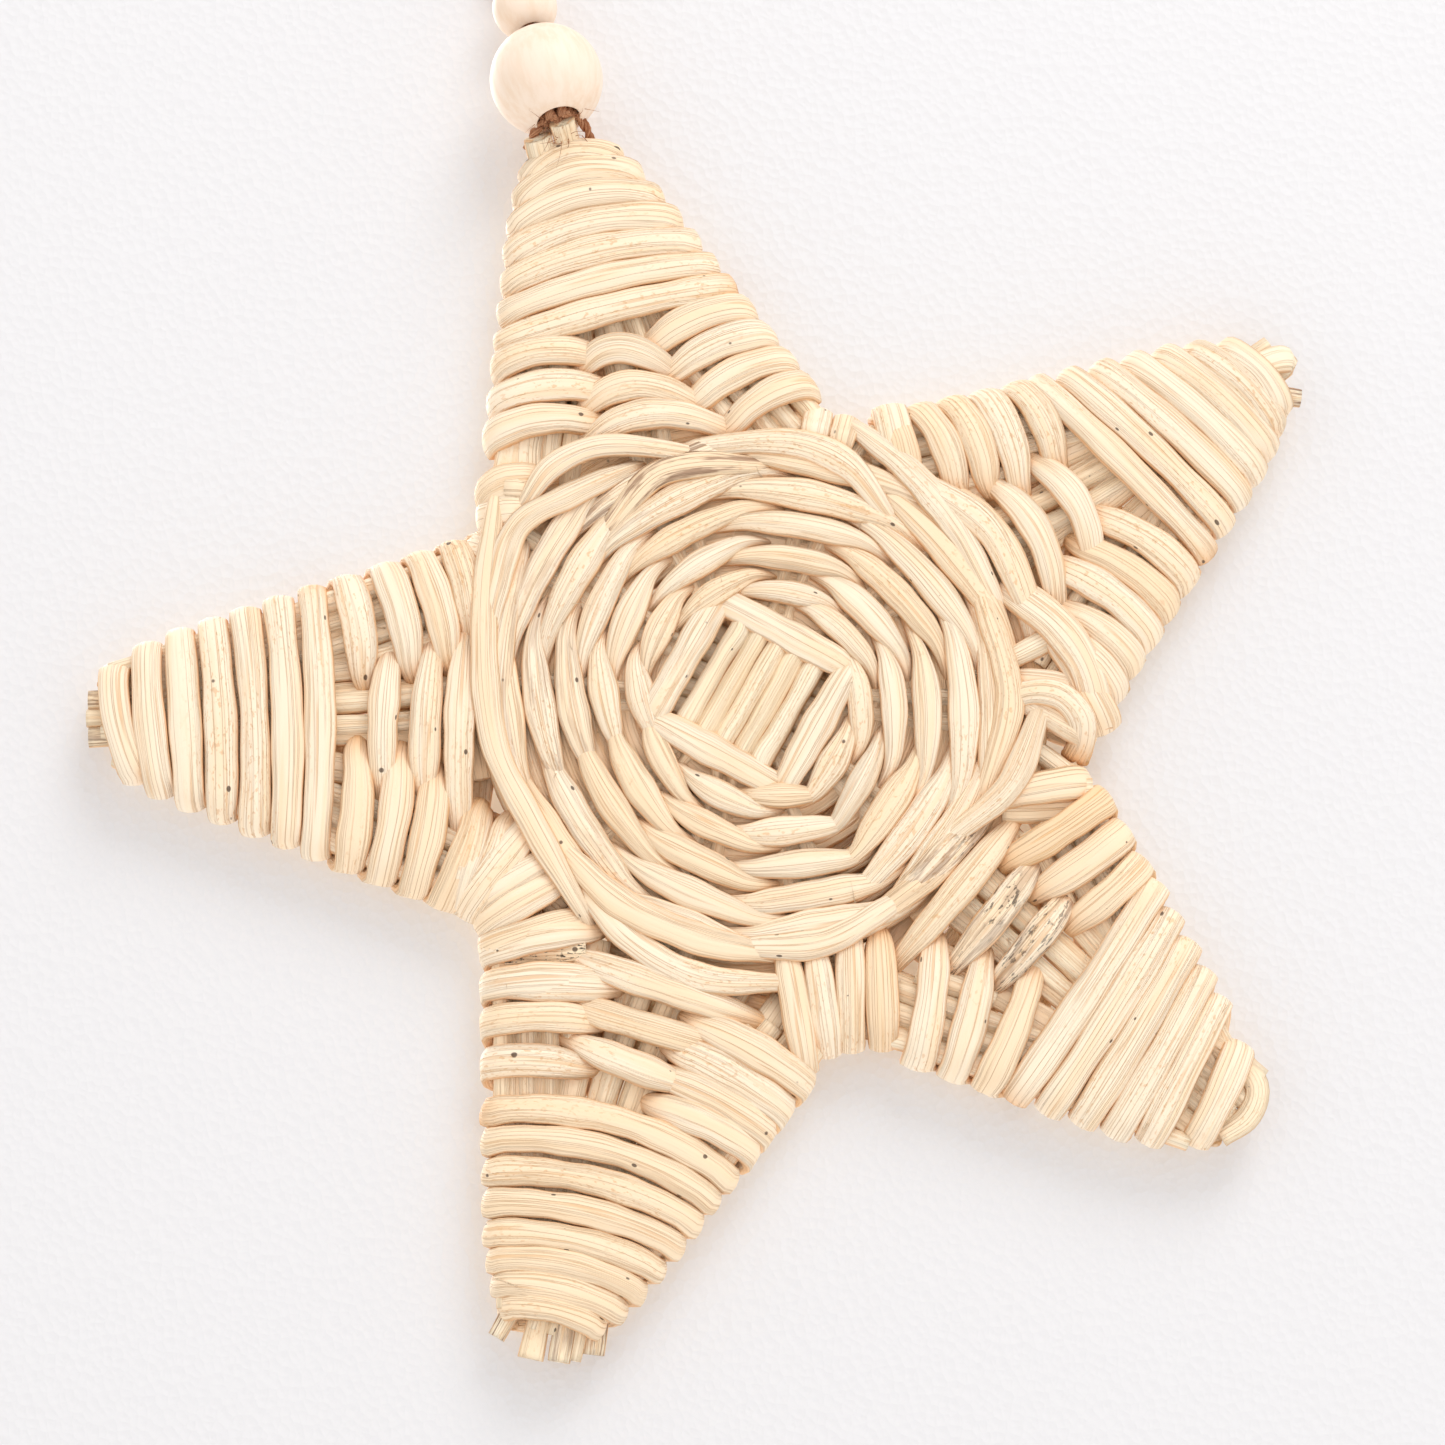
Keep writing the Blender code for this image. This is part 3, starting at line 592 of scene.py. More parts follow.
def lens(bundle, spoke, course, face, **marks):
    """One visible strand of a course: it rises between two spokes, crosses one and dives again."""
    first, last = gap_angles(spoke)
    chance = bundle.chance
    first += chance.uniform(-ANGLE_PLAY, ANGLE_PLAY)
    last += chance.uniform(-ANGLE_PLAY, ANGLE_PLAY)
    radius = FIRST_COURSE + COURSE_PITCH * course + chance.uniform(-SIZE_PLAY, SIZE_PLAY)
    width = INNER_WIDTH + WIDTH_STEP * course + chance.uniform(-SIZE_PLAY, SIZE_PLAY)
    turned = TURNED_SIDE[0] < SPOKES[spoke] < TURNED_SIDE[1]
    lean = face * chance.uniform(*SLANT) * (1 if turned else -1)
    lift = chance.uniform(*LIFT)
    stops = []
    for share, slant, level, full in LENS:
        angle = first + (last - first) * share
        flat = radius * (1.0 + FLATTENING * min((2 * share - 1) ** 2, FLAT_LIMIT))
        place = polar(flat + slant * lean, angle)
        stops.append(stop(place, face * (level + lift), polar(1.0, angle), width * full))
    bundle.lay(stops, **marks)


# %% Centre ties and middle
middle = Bundle("woven_middle", 11)
STAINED = {(2, 3): 0.15, (2, 4): 0.5, (4, 3): 0.2, (4, 2): 0.15, (5, 3): 0.1, (3, 4): 0.15}
for course in range(COURSES):
    for spoke in range(len(SPOKES)):
        lens(middle, spoke, course, 1, stain=STAINED.get((spoke, course), 0.0))
        lens(middle, spoke, course, -1)

CROSS_ANGLE = 45.5
TIE_LENGTH = 19.5
TIE_THICKNESS = 1.7
# Quarter turn from the cross, distance from the middle, and how high each end lies
TIES = ((0, 8.7, 2.7, 2.2), (1, 9.3, 2.2, 2.7), (2, 8.7, 2.7, 2.2), (3, 9.3, 2.2, 2.7))
for face in (1, -1):
    for quarter, away, low, high in TIES:
        sideways = polar(1.0, CROSS_ANGLE + 90.0 * quarter)
        heading = square_to(sideways)
        stops = []
        for share, level, width in ((-0.52, 0.4, 2.6), (-0.4, low, 3.5), (-0.15, 2.7, 4.0),
                                    (0.15, 2.75, 4.0), (0.4, high, 3.5), (0.52, 0.4, 2.6)):
            place = sideways * away + heading * (share * TIE_LENGTH)
            stops.append(stop(place, face * level, sideways, width, TIE_THICKNESS))
        middle.lay(stops)
middle.make(PEELED, "rattan_weaver", "ring_weaver_1", "ring_weaver_2", "centre_lashing_front",
            "centre_lashing_back")

# %% [markdown]
# Single reeds that lie loose on the others are given by a few places with their levels.

# %% Strips
def widths_along(points):
    """At each point the direction of the width, square to the line between its neighbours."""
    before = points[:1] + points[:-1]
    after = points[1:] + points[-1:]
    return [square_to((end - start).normalized()) for start, end in zip(before, after)]


def strip(bundle, width, thickness, points, **marks):
    """A reed through plan points. Each comes with its level."""
    across = widths_along([point for point, _ in points])
    stops = [stop(point, level, side, width, thickness)
             for (point, level), side in zip(points, across)]
    bundle.lay(stops, **marks)


# %% [markdown]
# Every arm is a tapering bundle of stakes: two or three along its middle and two or three along each
# side. An arm is described by its axis and by its two long sides, from the inner corners to the tip.
# Places in an arm are its distance along the axis and across it.

# %% Arms
# Name, axis angle, reach, half width of the tip on the right and on the left
ARMS = (("right", 16.5, 77.0, 7.3, 7.3), ("top", 93.0, 74.5, 7.1, 7.1),
        ("left", 167.0, 80.0, 9.4, 7.1), ("lower_left", 236.7, 81.5, 8.0, 8.0),
        ("lower_right", 302.3, 77.5, 7.9, 7.9))
SHOULDER = 9.0
SHOULDER_CURVE = 0.022
# Inner corners of the outline, each between an arm and the next one: angle and radius
CORNERS = ((56.0, 37.8), (133.4, 40.8), (205.0, 44.3), (269.6, 45.4), (334.8, 42.6))


class Side:
    """A long side of an arm, from its inner corner to the tip."""

    def __init__(self, corner, tip):
        self.corner = corner
        self.length = (tip - corner).length
        self.along = (tip - corner).normalized()
        inward = square_to(self.along)
        self.inward = inward if inward.dot(corner + tip) < 0 else -inward

    def at(self, distance, depth):
        """The place at a distance from the corner and a depth inside the outline."""
        return self.corner + self.along * distance + self.inward * depth


class Arm:
    """One arm of the star. Side 1 is the left one, seen towards the tip, and -1 the right one."""

    def __init__(self, index):
        self.name, angle, self.reach, right_half, left_half = ARMS[index]
        self.axis = polar(1.0, angle)
        self.cross = square_to(self.axis)
        before, after = CORNERS[index - 1], CORNERS[index]
        end = self.axis * self.reach
        self.sides = {-1: Side(polar(before[1], before[0]), end - self.cross * right_half),
                      1: Side(polar(after[1], after[0]), end + self.cross * left_half)}

    def place(self, along, across):
        """The place at a distance along the axis and one across it."""
        return self.axis * along + self.cross * across

    def edge(self, hand, along):
        """The outline's point at a distance along the axis."""
        side = self.sides[hand]
        distance = (along - side.corner.dot(self.axis)) / side.along.dot(self.axis)
        shoulder = max(along - self.reach + SHOULDER, 0.0)
        return side.at(distance, SHOULDER_CURVE * shoulder**2)


arms = {ARMS[index][0]: Arm(index) for index in range(len(ARMS))}
print("arms", ", ".join(arms))


# %% [markdown]
# On the real star a band begins between the stakes, goes over the outer ones to the outline, folds
# round it and comes back behind. A wrap does so right round the arm, turn after turn to the tip. Both
# are routes with a place, a level and a width at each stop, so the same bending makes them all.

# %% Bands
# How far a band's way back behind the arm lies towards the tip, and the share of it at the outline
BACK_SHIFT = 2.1
BACK_LEAST = 0.4
# A band from its root to the outline: share of the span and distance added to it, level, whether it
# swells there, and share of the width
BAND_PROFILE = ((0.0, -1.8, 0.3, 0, 0.5), (0.0, 0.0, 1.5, 0, 0.78), (0.22, 0.0, 2.5, 0, 0.95),
                (0.5, 0.0, 2.8, 1, 1.0), (1.0, -3.6, 2.45, 0, 1.0), (1.0, -1.9, 1.5, 0, 0.98))
SWELL = (-0.2, 0.25)
# A band over the middle: share of its span, level and share of the width
MIDDLE_PROFILE = ((-0.16, -0.2, 0.45), (0.02, 1.5, 0.75), (0.25, 2.6, 0.98), (0.5, 3.0, 1.0),
                  (0.75, 2.6, 0.98), (0.98, 1.5, 0.75), (1.16, -0.2, 0.45))
# At the outline a reed is pressed a little narrower
EDGE_SHARE = 0.97


def side_band(bundle, arm, hand, outer, inner, width=REED_WIDTH, bow=0.0, **marks):
    """A band over the side stakes, round the edge and back behind them. outer is its distance along
    the axis at the outline, inner the place where it dives towards the middle of the arm."""
    bend_round(bundle, arm.place(*inner), arm.edge(hand, outer), width, arm.axis * BACK_SHIFT,
               arm.axis * bow, **marks)


def bend_round(bundle, root, edge, width, shift, bow, **marks):
    """A reed from its root over the front, round the outline at edge, and back to the root behind."""
    heading = (edge - root).normalized()
    across = square_to(heading)
    span = (edge - root).length
    rim = edge - heading * (REED_THICKNESS / 2)
    swell = bundle.chance.uniform(*SWELL)
    front = [(span * share + more, level + swell * swells, full)
             for share, more, level, swells, full in BAND_PROFILE]
    stops = []
    for reach, level, share in front:
        part = min(max(reach / span, 0.0), 1.0)
        place = root + heading * reach + bow * (4 * part * (1 - part))
        stops.append(stop(place, level, across, width * share))
    stops.append(stop(rim, 0.0, across, width * EDGE_SHARE))
    for reach, level, share in reversed(front):
        away = BACK_LEAST + (1.0 - BACK_LEAST) * (1.0 - max(reach, 0.0) / span)
        place = root + heading * reach + shift * away
        stops.append(stop(place, -level, across, width * share))
    bundle.lay(stops, **marks)


def middle_band(bundle, arm, start, end, face=1, width=REED_WIDTH, bow=0.4, **marks):
    """A band over the middle stakes that dives between the side bands at both ends."""
    first, last = arm.place(*start), arm.place(*end)
    span = last - first
    bend = arm.axis * bow
    stops = []
    for share, level, full in MIDDLE_PROFILE:
        lift = bend * (1 - (2 * share - 1) ** 2)
        heading = (span + bend * (4 - 8 * share)).normalized()
        place = first.lerp(last, share) + lift
        stops.append(stop(place, face * level, square_to(heading), width * full))
    bundle.lay(stops, **marks)


# %% Wraps
# Width of a wrap as a share of the distance to the next one
WRAP_OVERLAP = {"right": 1.06, "top": 1.12, "left": 1.0, "lower_left": 1.08, "lower_right": 1.02}
WRAP_PLAY = (0.94, 1.05)
# A wrap lies in a low dome over the stakes: share of the way across, level and distance inwards
DOME = ((0.0, 1.25, 0.5), (0.07, 2.1, 0.0), (0.25, 2.75, 0.0), (0.5, 3.05, 0.0), (0.75, 2.75, 0.0),
        (0.93, 2.1, 0.0), (1.0, 1.25, -0.5))
BACK_LOWER = 0.25


def wraps(bundle, arm, turns, width):
    """Turns right round the arm. Each has its distance along the right and the left side, and how far
    its middle bows towards the tip."""
    stops = []
    slack = REED_THICKNESS / 2
    for index, (right, left, bow) in enumerate(turns):
        following = turns[index + 1][0] if index + 1 < len(turns) else right + 1.0
        low, high = arm.edge(-1, right), arm.edge(1, left)
        heading = (high - low).normalized()
        low, high = low + heading * slack, high - heading * slack
        full = width * bundle.chance.uniform(*WRAP_PLAY)
        stops.append(stop(low, 0.0, square_to(heading), full * EDGE_SHARE))
        for share, level, inset in DOME:
            bend = arm.axis * (bow * 4 * share * (1 - share))
            slope = bow * (4 - 8 * share) / (high - low).length
            turned = (heading + arm.axis * slope).normalized()
            place = low.lerp(high, share) + heading * inset + bend
            stops.append(stop(place, level, square_to(turned), full))
        stops.append(stop(high, 0.0, square_to(heading), full * EDGE_SHARE))
        next_low = arm.edge(-1, following) + heading * slack
        for share, level, inset in DOME:
            place = high.lerp(next_low, share) - heading * inset
            stops.append(stop(place, BACK_LOWER - level, square_to(heading), full))
    bundle.lay(stops)


# %% [markdown]
# The ends of each band were read off a picture of the real star. A separate program turned the
# readings into millimetres along and across the arm, and turned them once more when the arms' axes
# were corrected, and some were moved by hand. A side band is given by its distance along the axis at
# the outline and by the place of its inner end, and a middle band by the places of its two ends.

# %% Measured bands
# For each arm: wraps (distance on the right side, on the left side, bow towards the tip)
WRAPS = {
    "right": ((58.6, 51.9, 0.2), (62.4, 55.8, 0.3), (66.2, 59.7, 0.4), (69.6, 63.5, 0.6),
              (72.6, 67.3, 0.8), (75.2, 71.0, 1.0), (77.2, 74.6, 1.2)),
    "top": ((50.9, 53.2, 0.6), (54.4, 56.8, 1.0), (57.9, 60.4, 1.4), (61.5, 63.7, 1.8),
            (65.1, 67.1, 2.1), (68.7, 70.2, 2.3), (71.7, 72.7, 2.2)),
    "left": ((54.3, 54.7, -1.0), (58.6, 58.3, -0.9), (62.8, 62.1, -0.8), (66.9, 66.1, -0.6),
             (71.0, 70.0, -0.2), (75.2, 73.7, 0.4), (79.8, 76.8, 0.8)),
    "lower_left": ((59.3, 58.0, -3.0), (62.7, 61.2, -2.6), (66.3, 64.4, -2.0), (69.8, 67.6, -1.5),
                   (73.3, 71.1, -1.4), (76.4, 74.3, -1.4), (79.1, 77.4, -1.0), (81.6, 80.2, -0.8)),
    "lower_right": ((57.8, 53.0, 0.4), (61.8, 57.0, 0.3), (65.8, 60.8, 0.3), (69.7, 64.6, 0.2),
                    (73.6, 68.2, 0.0), (78.7, 73.9, 0.2)),
}
# For each arm and side: bands as (distance at the outline, inner end along, inner end across)
SIDE_BANDS = {
    ("right", 1): ((49.2, 48.8, 5.5), (45.5, 43.1, 5.0), (41.4, 39.8, 7.3), (37.4, 36.2, 8.9),
                   (33.6, 31.0, 12.5)),
    ("right", -1): ((54.5, 49.3, -4.0), (50.5, 45.4, -6.0), (46.5, 41.8, -7.0), (42.7, 39.2, -12.0),
                    (38.6, 36.6, -14.5)),
    ("top", 1): ((50.0, 48.1, 5.1), (45.8, 43.5, 5.7), (41.5, 39.7, 8.0), (34.4, 34.0, 15.9)),
    ("top", -1): ((47.2, 46.8, -2.7), (43.2, 42.4, -3.7), (39.2, 37.9, -5.4), (35.4, 33.5, -8.7)),
    ("left", 1): ((50.8, 49.3, 5.2), (47.0, 44.0, 6.2), (43.1, 39.7, 9.0), (39.5, 34.7, 13.7),
                  (36.2, 31.0, 15.3)),
    ("left", -1): ((50.3, 48.3, -4.7), (45.6, 42.3, -5.7), (41.2, 37.5, -6.3), (36.9, 34.4, -9.6),
                   (32.8, 30.7, -12.7)),
    ("lower_left", 1): ((54.2, 52.4, 4.6), (51.4, 48.6, 4.9), (48.4, 45.0, 4.8), (44.5, 41.2, 6.1)),
    ("lower_left", -1): ((54.1, 50.7, -5.6), (49.4, 44.9, -6.1), (45.2, 39.9, -6.1),
                         (41.2, 34.6, -10.1)),
    ("lower_right", 1): ((50.0, 49.0, 6.3), (45.9, 43.3, 6.2), (41.6, 38.1, 6.7)),
    ("lower_right", -1): ((54.4, 49.4, -3.1), (50.5, 43.7, -5.8), (46.5, 38.3, -8.4)),
}
# How far the side bands and the middle bands of each arm bow towards its tip
BOWS = {"right": (1.1, 1.8), "top": (1.3, 2.4), "left": (-0.8, 0.3), "lower_left": (-0.6, 0.2),
        "lower_right": (0.5, 0.2)}
# For each arm: middle bands as the places of their two ends
MIDDLE_BANDS = {
    "right": (((46.4, 6.0), (45.4, -8.5)), ((40.6, 5.9), (38.6, -10.4)),
              ((35.6, 8.0), (34.2, -12.0))),
    "top": (((47.1, 6.3), (42.6, -4.1)), ((41.9, 7.6), (37.5, -5.6)), ((37.5, 8.9), (33.7, -7.6))),
    "left": (((44.9, -6.3), (46.0, 9.8)), ((39.4, -7.2), (40.9, 10.4)), ((35.2, -8.8), (36.7, 14.2))),
    "lower_left": (((48.0, -7.1), (48.9, 7.0)), ((43.7, -8.1), (43.3, 8.1)),
                   ((38.0, -10.0), (38.5, 11.2))),
    "lower_right": (((46.3, 6.4), (46.8, -5.9)), ((40.5, 6.9), (41.4, -7.8)),
                    ((35.1, 8.3), (35.9, -11.2)), ((31.5, 9.1), (30.9, -9.1))),
}


# %% Lay the arms
# Orange side bands by arm, side and row, and stained middle bands by arm and row
ORANGE = {("lower_right", 1, 2): 0.65, ("lower_right", 1, 1): 0.2, ("right", 1, 4): 0.2}
STAINS = {("lower_right", 1): 1.75, ("lower_right", 0): 1.65, ("lower_right", 3): 1.6}
BAND_EXTRA = (0.1, 0.5)
FIRST_ARM_SEED = 100


def weave_arm(index, name):
    """All the bands and wraps of one arm, as one piece."""
    arm = arms[name]
    bundle = Bundle(name + "_arm_weave", FIRST_ARM_SEED + index)
    turns = WRAPS[name]
    # The last wrap may lie apart, so the pitch is that of the others
    pitch = (turns[-2][0] - turns[0][0] + turns[-2][1] - turns[0][1]) / 2 / (len(turns) - 2)
    wraps(bundle, arm, turns, pitch * WRAP_OVERLAP[name])
    side_bow, middle_bow = BOWS[name]
    for hand in (-1, 1):
        for row, (outer, along, across) in enumerate(SIDE_BANDS[name, hand]):
            orange = ORANGE.get((name, hand, row), 0.0)
            width = REED_WIDTH + bundle.chance.uniform(*BAND_EXTRA)
            side_band(bundle, arm, hand, outer, (along, across), width, side_bow, orange=orange)
    for row, (start, end) in enumerate(MIDDLE_BANDS[name]):
        stain = STAINS.get((name, row), 0.0)
        middle_band(bundle, arm, start, end, bow=middle_bow, stain=stain)
        back_start = (start[0] - BACK_SHIFT, start[1])
        back_end = (end[0] - BACK_SHIFT, end[1])
        middle_band(bundle, arm, back_start, back_end, face=-1, bow=middle_bow)
    bundle.make(PEELED, "rattan_weaver", name + "_arm_weaver")


for index, name in enumerate(arms):
    weave_arm(index, name)

# %% [markdown]
# The rim: at the edge of the round middle long strands run over the roots of the arms, and reeds go
# round the inner corners. All are given by a few polar places, radius and direction. They come from
# readings by eye too, some as a separate program turned them into millimetres and others moved by
# hand. Where two strands cross, the level says which one is in front.

# %% Rim strands
# Width, level, stain and places of each long strand
RIM_STRANDS = (
    (3.0, 3.7, 0.0, ((37.2, 124.0), (38.0, 115.2), (36.5, 104.8), (31.8, 89.2))),
    (3.2, 3.5, 0.0, ((33.4, 153.0), (34.2, 142.1), (35.9, 128.4), (33.8, 116.8), (32.5, 103.2))),
    (3.6, 3.2, 0.6, ((27.6, 114.4), (30.1, 98.4), (29.8, 86.7), (29.2, 73.0))),
    (3.6, 3.3, 0.0, ((32.2, 86.0), (32.4, 65.6), (31.6, 51.8), (28.8, 38.5))),
    (3.6, 3.1, 0.0, ((36.4, 52.0), (34.8, 40.0), (33.4, 24.0), (32.8, 6.0))),
    (3.6, 3.4, 0.0, ((34.4, 38.8), (36.3, 19.9), (36.0, 3.2))),
    (3.6, 3.2, 0.0, ((31.6, 9.0), (32.2, 343.4), (31.6, 322.0))),
    (3.6, 3.6, 0.0, ((36.2, 341.4), (34.2, 324.3), (30.8, 308.5))),
    (3.6, 2.9, 0.1, ((32.2, 316.0), (31.9, 300.8), (32.0, 283.5))),
    (3.6, 3.2, 0.0, ((31.9, 251.7), (32.6, 270.5), (31.8, 289.6))),
    (3.8, 3.3, 0.0, ((30.4, 203.7), (31.0, 223.3), (31.6, 242.9), (32.6, 257.2))),
    (3.4, 3.0, 0.0, ((31.9, 213.0), (34.4, 229.5), (36.2, 244.8), (36.6, 262.0))),
    (3.4, 3.5, 0.0, ((39.9, 127.8), (34.6, 148.0), (32.4, 175.8), (31.6, 195.8), (34.2, 216.8))),
    (3.2, 3.0, 0.15, ((33.7, 133.1), (31.4, 155.0), (31.4, 173.9), (31.2, 190.5))),
)
# Two bands that keep their width and go over the edge: width, and places with their levels
EDGE_BANDS = (
    (4.6, ((34.6, 8.6, 1.6), (38.7, 358.1, 3.3), (41.2, 351.0, 3.4), (42.6, 344.8, 2.8),
           (43.2, 339.0, 0.6))),
    (3.5, ((31.2, 342.4, 1.8), (35.0, 344.4, 3.4), (38.4, 343.6, 3.8), (41.0, 340.2, 3.2),
           (41.7, 336.6, 1.7), (41.2, 333.6, -0.3))),
)
# Width, root and edge of each corner band
CORNER_BANDS = (
    (4.4, (31.9, 195.9), (45.4, 202.4)), (3.8, (37.2, 190.4), (45.8, 200.8)),
    (4.0, (32.5, 204.2), (44.2, 202.0)), (4.2, (33.2, 209.5), (45.0, 205.6)),
    (4.4, (35.4, 218.1), (46.6, 208.6)), (4.6, (40.5, 228.9), (48.6, 212.4)),
    (3.6, (31.8, 262.0), (48.0, 262.8)), (3.6, (32.2, 268.6), (46.4, 266.6)),
    (3.8, (32.6, 276.5), (46.4, 269.9)), (4.0, (34.9, 281.6), (47.4, 274.6)),
    (3.7, (32.3, 60.5), (38.6, 61.1)), (3.4, (32.4, 54.5), (38.6, 55.6)),
    (4.6, (33.8, 39.7), (41.8, 49.8)), (3.0, (37.4, 120.2), (42.9, 126.3)),
    (4.4, (35.8, 123.5), (41.6, 130.8)), (4.4, (34.4, 135.9), (41.0, 136.4)),
    (4.2, (33.4, 321.5), (43.9, 330.3)), (3.6, (32.5, 344.3), (43.4, 336.6)),
    (3.4, (33.2, 347.6), (42.4, 344.8)), (4.4, (38.6, 358.4), (45.0, 338.6)),
)

# %% Lay the rim
RIM_THICKNESS = 1.7
RIM_BACK_LEVEL = 3.0
# Each strand goes on past its places, where it drops and narrows
RIM_TAIL = 3.4
RIM_DROP = 0.9
RIM_SHARES = (0.28, 0.66, 1.04)
CORNER_TINTS = {9: 0.4, 8: 0.15}
STRAIGHT = Vector((0.0, 0.0))
rim = Bundle("rim_and_corners", 31)
for width, front_level, stain, places in RIM_STRANDS:
    points = [polar(*place) for place in places]
    points.insert(0, points[0] + (points[0] - points[1]).normalized() * RIM_TAIL)
    points.append(points[-1] + (points[-1] - points[-2]).normalized() * RIM_TAIL)
    for face, level in ((1, front_level), (-1, RIM_BACK_LEVEL)):
        heights = (0.0, level - RIM_DROP, level)
        stops = []
        for index, (point, across) in enumerate(zip(points, widths_along(points))):
            from_end = min(index, len(points) - 1 - index, 2)
            share = RIM_SHARES[from_end]
            stops.append(stop(point, face * heights[from_end], across, width * share, RIM_THICKNESS))
        rim.lay(stops, stain=stain if face > 0 else 0.0)
for width, places in EDGE_BANDS:
    for face in (1, -1):
        points = [(polar(radius, angle), face * level) for radius, angle, level in places]
        strip(rim, width, RIM_THICKNESS, points)
for index, (width, root, edge) in enumerate(CORNER_BANDS):
    bend_round(rim, polar(*root), polar(*edge), width, STRAIGHT, STRAIGHT,
               orange=CORNER_TINTS.get(index, 0.0))
nodes = [name for name in frame["nodes"] if "corner_band" in name]
rim.make(PEELED, "rattan_weaver", *nodes)

# %% [markdown]
# The stakes: five in front and five behind cross in the middle, run out in pairs along the spokes,
# and go on into the arms, along the middle or round an inner corner and along a side. They show in
# the square in the middle, in the windows of the arms and as cut ends at the tips.

# %% Stakes
STAKE_WIDTH = 2.8
STAKE_THICKNESS = 3.7
STAKE_GAP = 0.3
STAKE_PITCH = 2.65
CROSS_HALF = 7.6
NECK_WIDTH = 1.7
TIP_WIDTH = 2.0
STUB = 1.0
OUTER_DEPTH = 3.0
LAYER_LEVEL = 1.25
ARM_SPOKES = {0: "right", 2: "top", 4: "left", 6: "lower_left", 8: "lower_right"}
# Spoke and slot at each end of a stake, from one side of its layer to the other
FRONT_ENDS = (((2, -1), (5, -1)), ((1, 1), (5, 1)), ((1, -1), (6, -1)), ((0, 1), (6, 1)),
              ((0, -1), (7, -1)))
BACK_ENDS = (((9, 1), (2, 1)), ((9, -1), (3, -1)), ((8, 1), (3, 1)), ((8, -1), (4, -1)),
             ((7, 1), (4, 1)))
# Radii along a spoke, and where a stake reaches its full width in an arm and narrows before the tip
SPOKE_RADII = (12.0, 17.8, 22.0, 30.6)
ARM_ENTRY = 46.0
TIP_TAPER = 4.0
# Distances from the inner corner, and the share of the side where the last stretch begins
SIDE_ENTRY = (2.5, 6.0)
SIDE_SHARE = 0.6
# Half lengths of the straight stretch in the crossing, and how much wider a stake is there
CROSS_REACHES = (3.0, CROSS_HALF)
CROSS_EXTRA = 0.15
STAKE_SPACING = 1.1
STAKE_RIBS = 1.5


def spoke_stops(spoke, slot):
    """Place and width of a stake along its spoke."""
    across = polar(1.0, SPOKES[spoke] + 90.0)
    made = []
    for radius in SPOKE_RADII:
        share = min(max((radius - FIRST_COURSE) / (2 * COURSE_PITCH), 0.0), 1.0)
        width = NECK_WIDTH + (STAKE_WIDTH - NECK_WIDTH) * share
        aside = across * (slot * (width + STAKE_GAP) / 2)
        made.append((polar(radius, SPOKES[spoke]) + aside, width))
    return made


def arm_stops(spoke, slot):
    """The rest of a stake, in an arm's middle or along one of its sides."""
    if spoke in ARM_SPOKES:
        arm = arms[ARM_SPOKES[spoke]]
        wide, narrow = (STAKE_WIDTH + STAKE_GAP) / 2, (TIP_WIDTH + STAKE_GAP) / 2
        return [(arm.place(ARM_ENTRY, slot * wide), STAKE_WIDTH),
                (arm.place(arm.reach - TIP_TAPER, slot * narrow), TIP_WIDTH),
                (arm.place(arm.reach + STUB, slot * narrow), TIP_WIDTH)]
    corner = (spoke - 1) // 2
    names = list(arms)
    arm = arms[names[(corner + 1) % len(names)]] if slot > 0 else arms[names[corner]]
    side = arm.sides[-slot]
    distances = (*SIDE_ENTRY, side.length * SIDE_SHARE)
    made = [(side.at(distance, OUTER_DEPTH), STAKE_WIDTH) for distance in distances]
    tip_depth = OUTER_DEPTH - (STAKE_WIDTH - TIP_WIDTH) / 2
    return made + [(side.at(side.length + STUB * SIDE_SHARE, tip_depth), TIP_WIDTH)]


def stake_route(layer, place, ends):
    """The stops of one stake from tip to tip, through the crossing in the middle."""
    along = polar(1.0, CROSS_ANGLE if layer > 0 else CROSS_ANGLE - 90.0)
    offset = square_to(along) * ((2 - place) * STAKE_PITCH)
    halves = []
    for sign, (spoke, slot) in zip((1, -1), ends):
        half = [(offset + along * (sign * reach), layer * LAYER_LEVEL, STAKE_PITCH + CROSS_EXTRA)
                for reach in CROSS_REACHES]
        for point, width in spoke_stops(spoke, slot) + arm_stops(spoke, slot):
            half.append((point, 0.0, width))
        halves.append(half)
    route = list(reversed(halves[1])) + halves[0]
    across = widths_along([point for point, _, _ in route])
    return [stop(point, level, side, width, STAKE_THICKNESS)
            for (point, level, width), side in zip(route, across)]


stakes = Bundle("stakes", 57)
for layer, ends_list in ((1, FRONT_ENDS), (-1, BACK_ENDS)):
    for place, ends in enumerate(ends_list):
        stakes.lay(stake_route(layer, place, ends), dive=0.0, spacing=STAKE_SPACING, ribs=STAKE_RIBS)

# %% [markdown]
# Each side of an arm holds two or three more stakes. Behind the weave the far layers of the real star
# close every gap, and plain reeds laid side by side do it here. A soft brown painted shade in their
# finish makes them look as deep as they lie.

# %% Side stakes and linings
# Depth under the outline, and the shares of the side where each further stake begins and ends
SIDE_STAKES = ((5.8, 0.04, 0.86), (8.6, 0.08, 0.62), (11.4, 0.12, 0.36))
SIDE_WIDTHS = (2.9, 2.9, 2.3)
LANES = (-1.0, -0.71, -0.43, -0.14, 0.14, 0.43, 0.71, 1.0)
LINING_THICKNESS = 1.6
LINING_SPACING = 2.0
LINING_LEVEL = 0.3
LINING_TOP = 0.9
LINING_WIDTH = 3.9
LINING_INSET = 3.9
LINING_END = 3.5
LINING_REACH = ((35.0, LINING_LEVEL), (48.0, LINING_LEVEL), (58.0, LINING_TOP))
LINING_RADIUS = 35.4
# How much painted shade the linings of the arms, the rim and the courses carry
ARM_LINING_SHADE = 0.2
RIM_LINING_SHADE = 0.45
COURSE_LINING_SHADE = 0.3
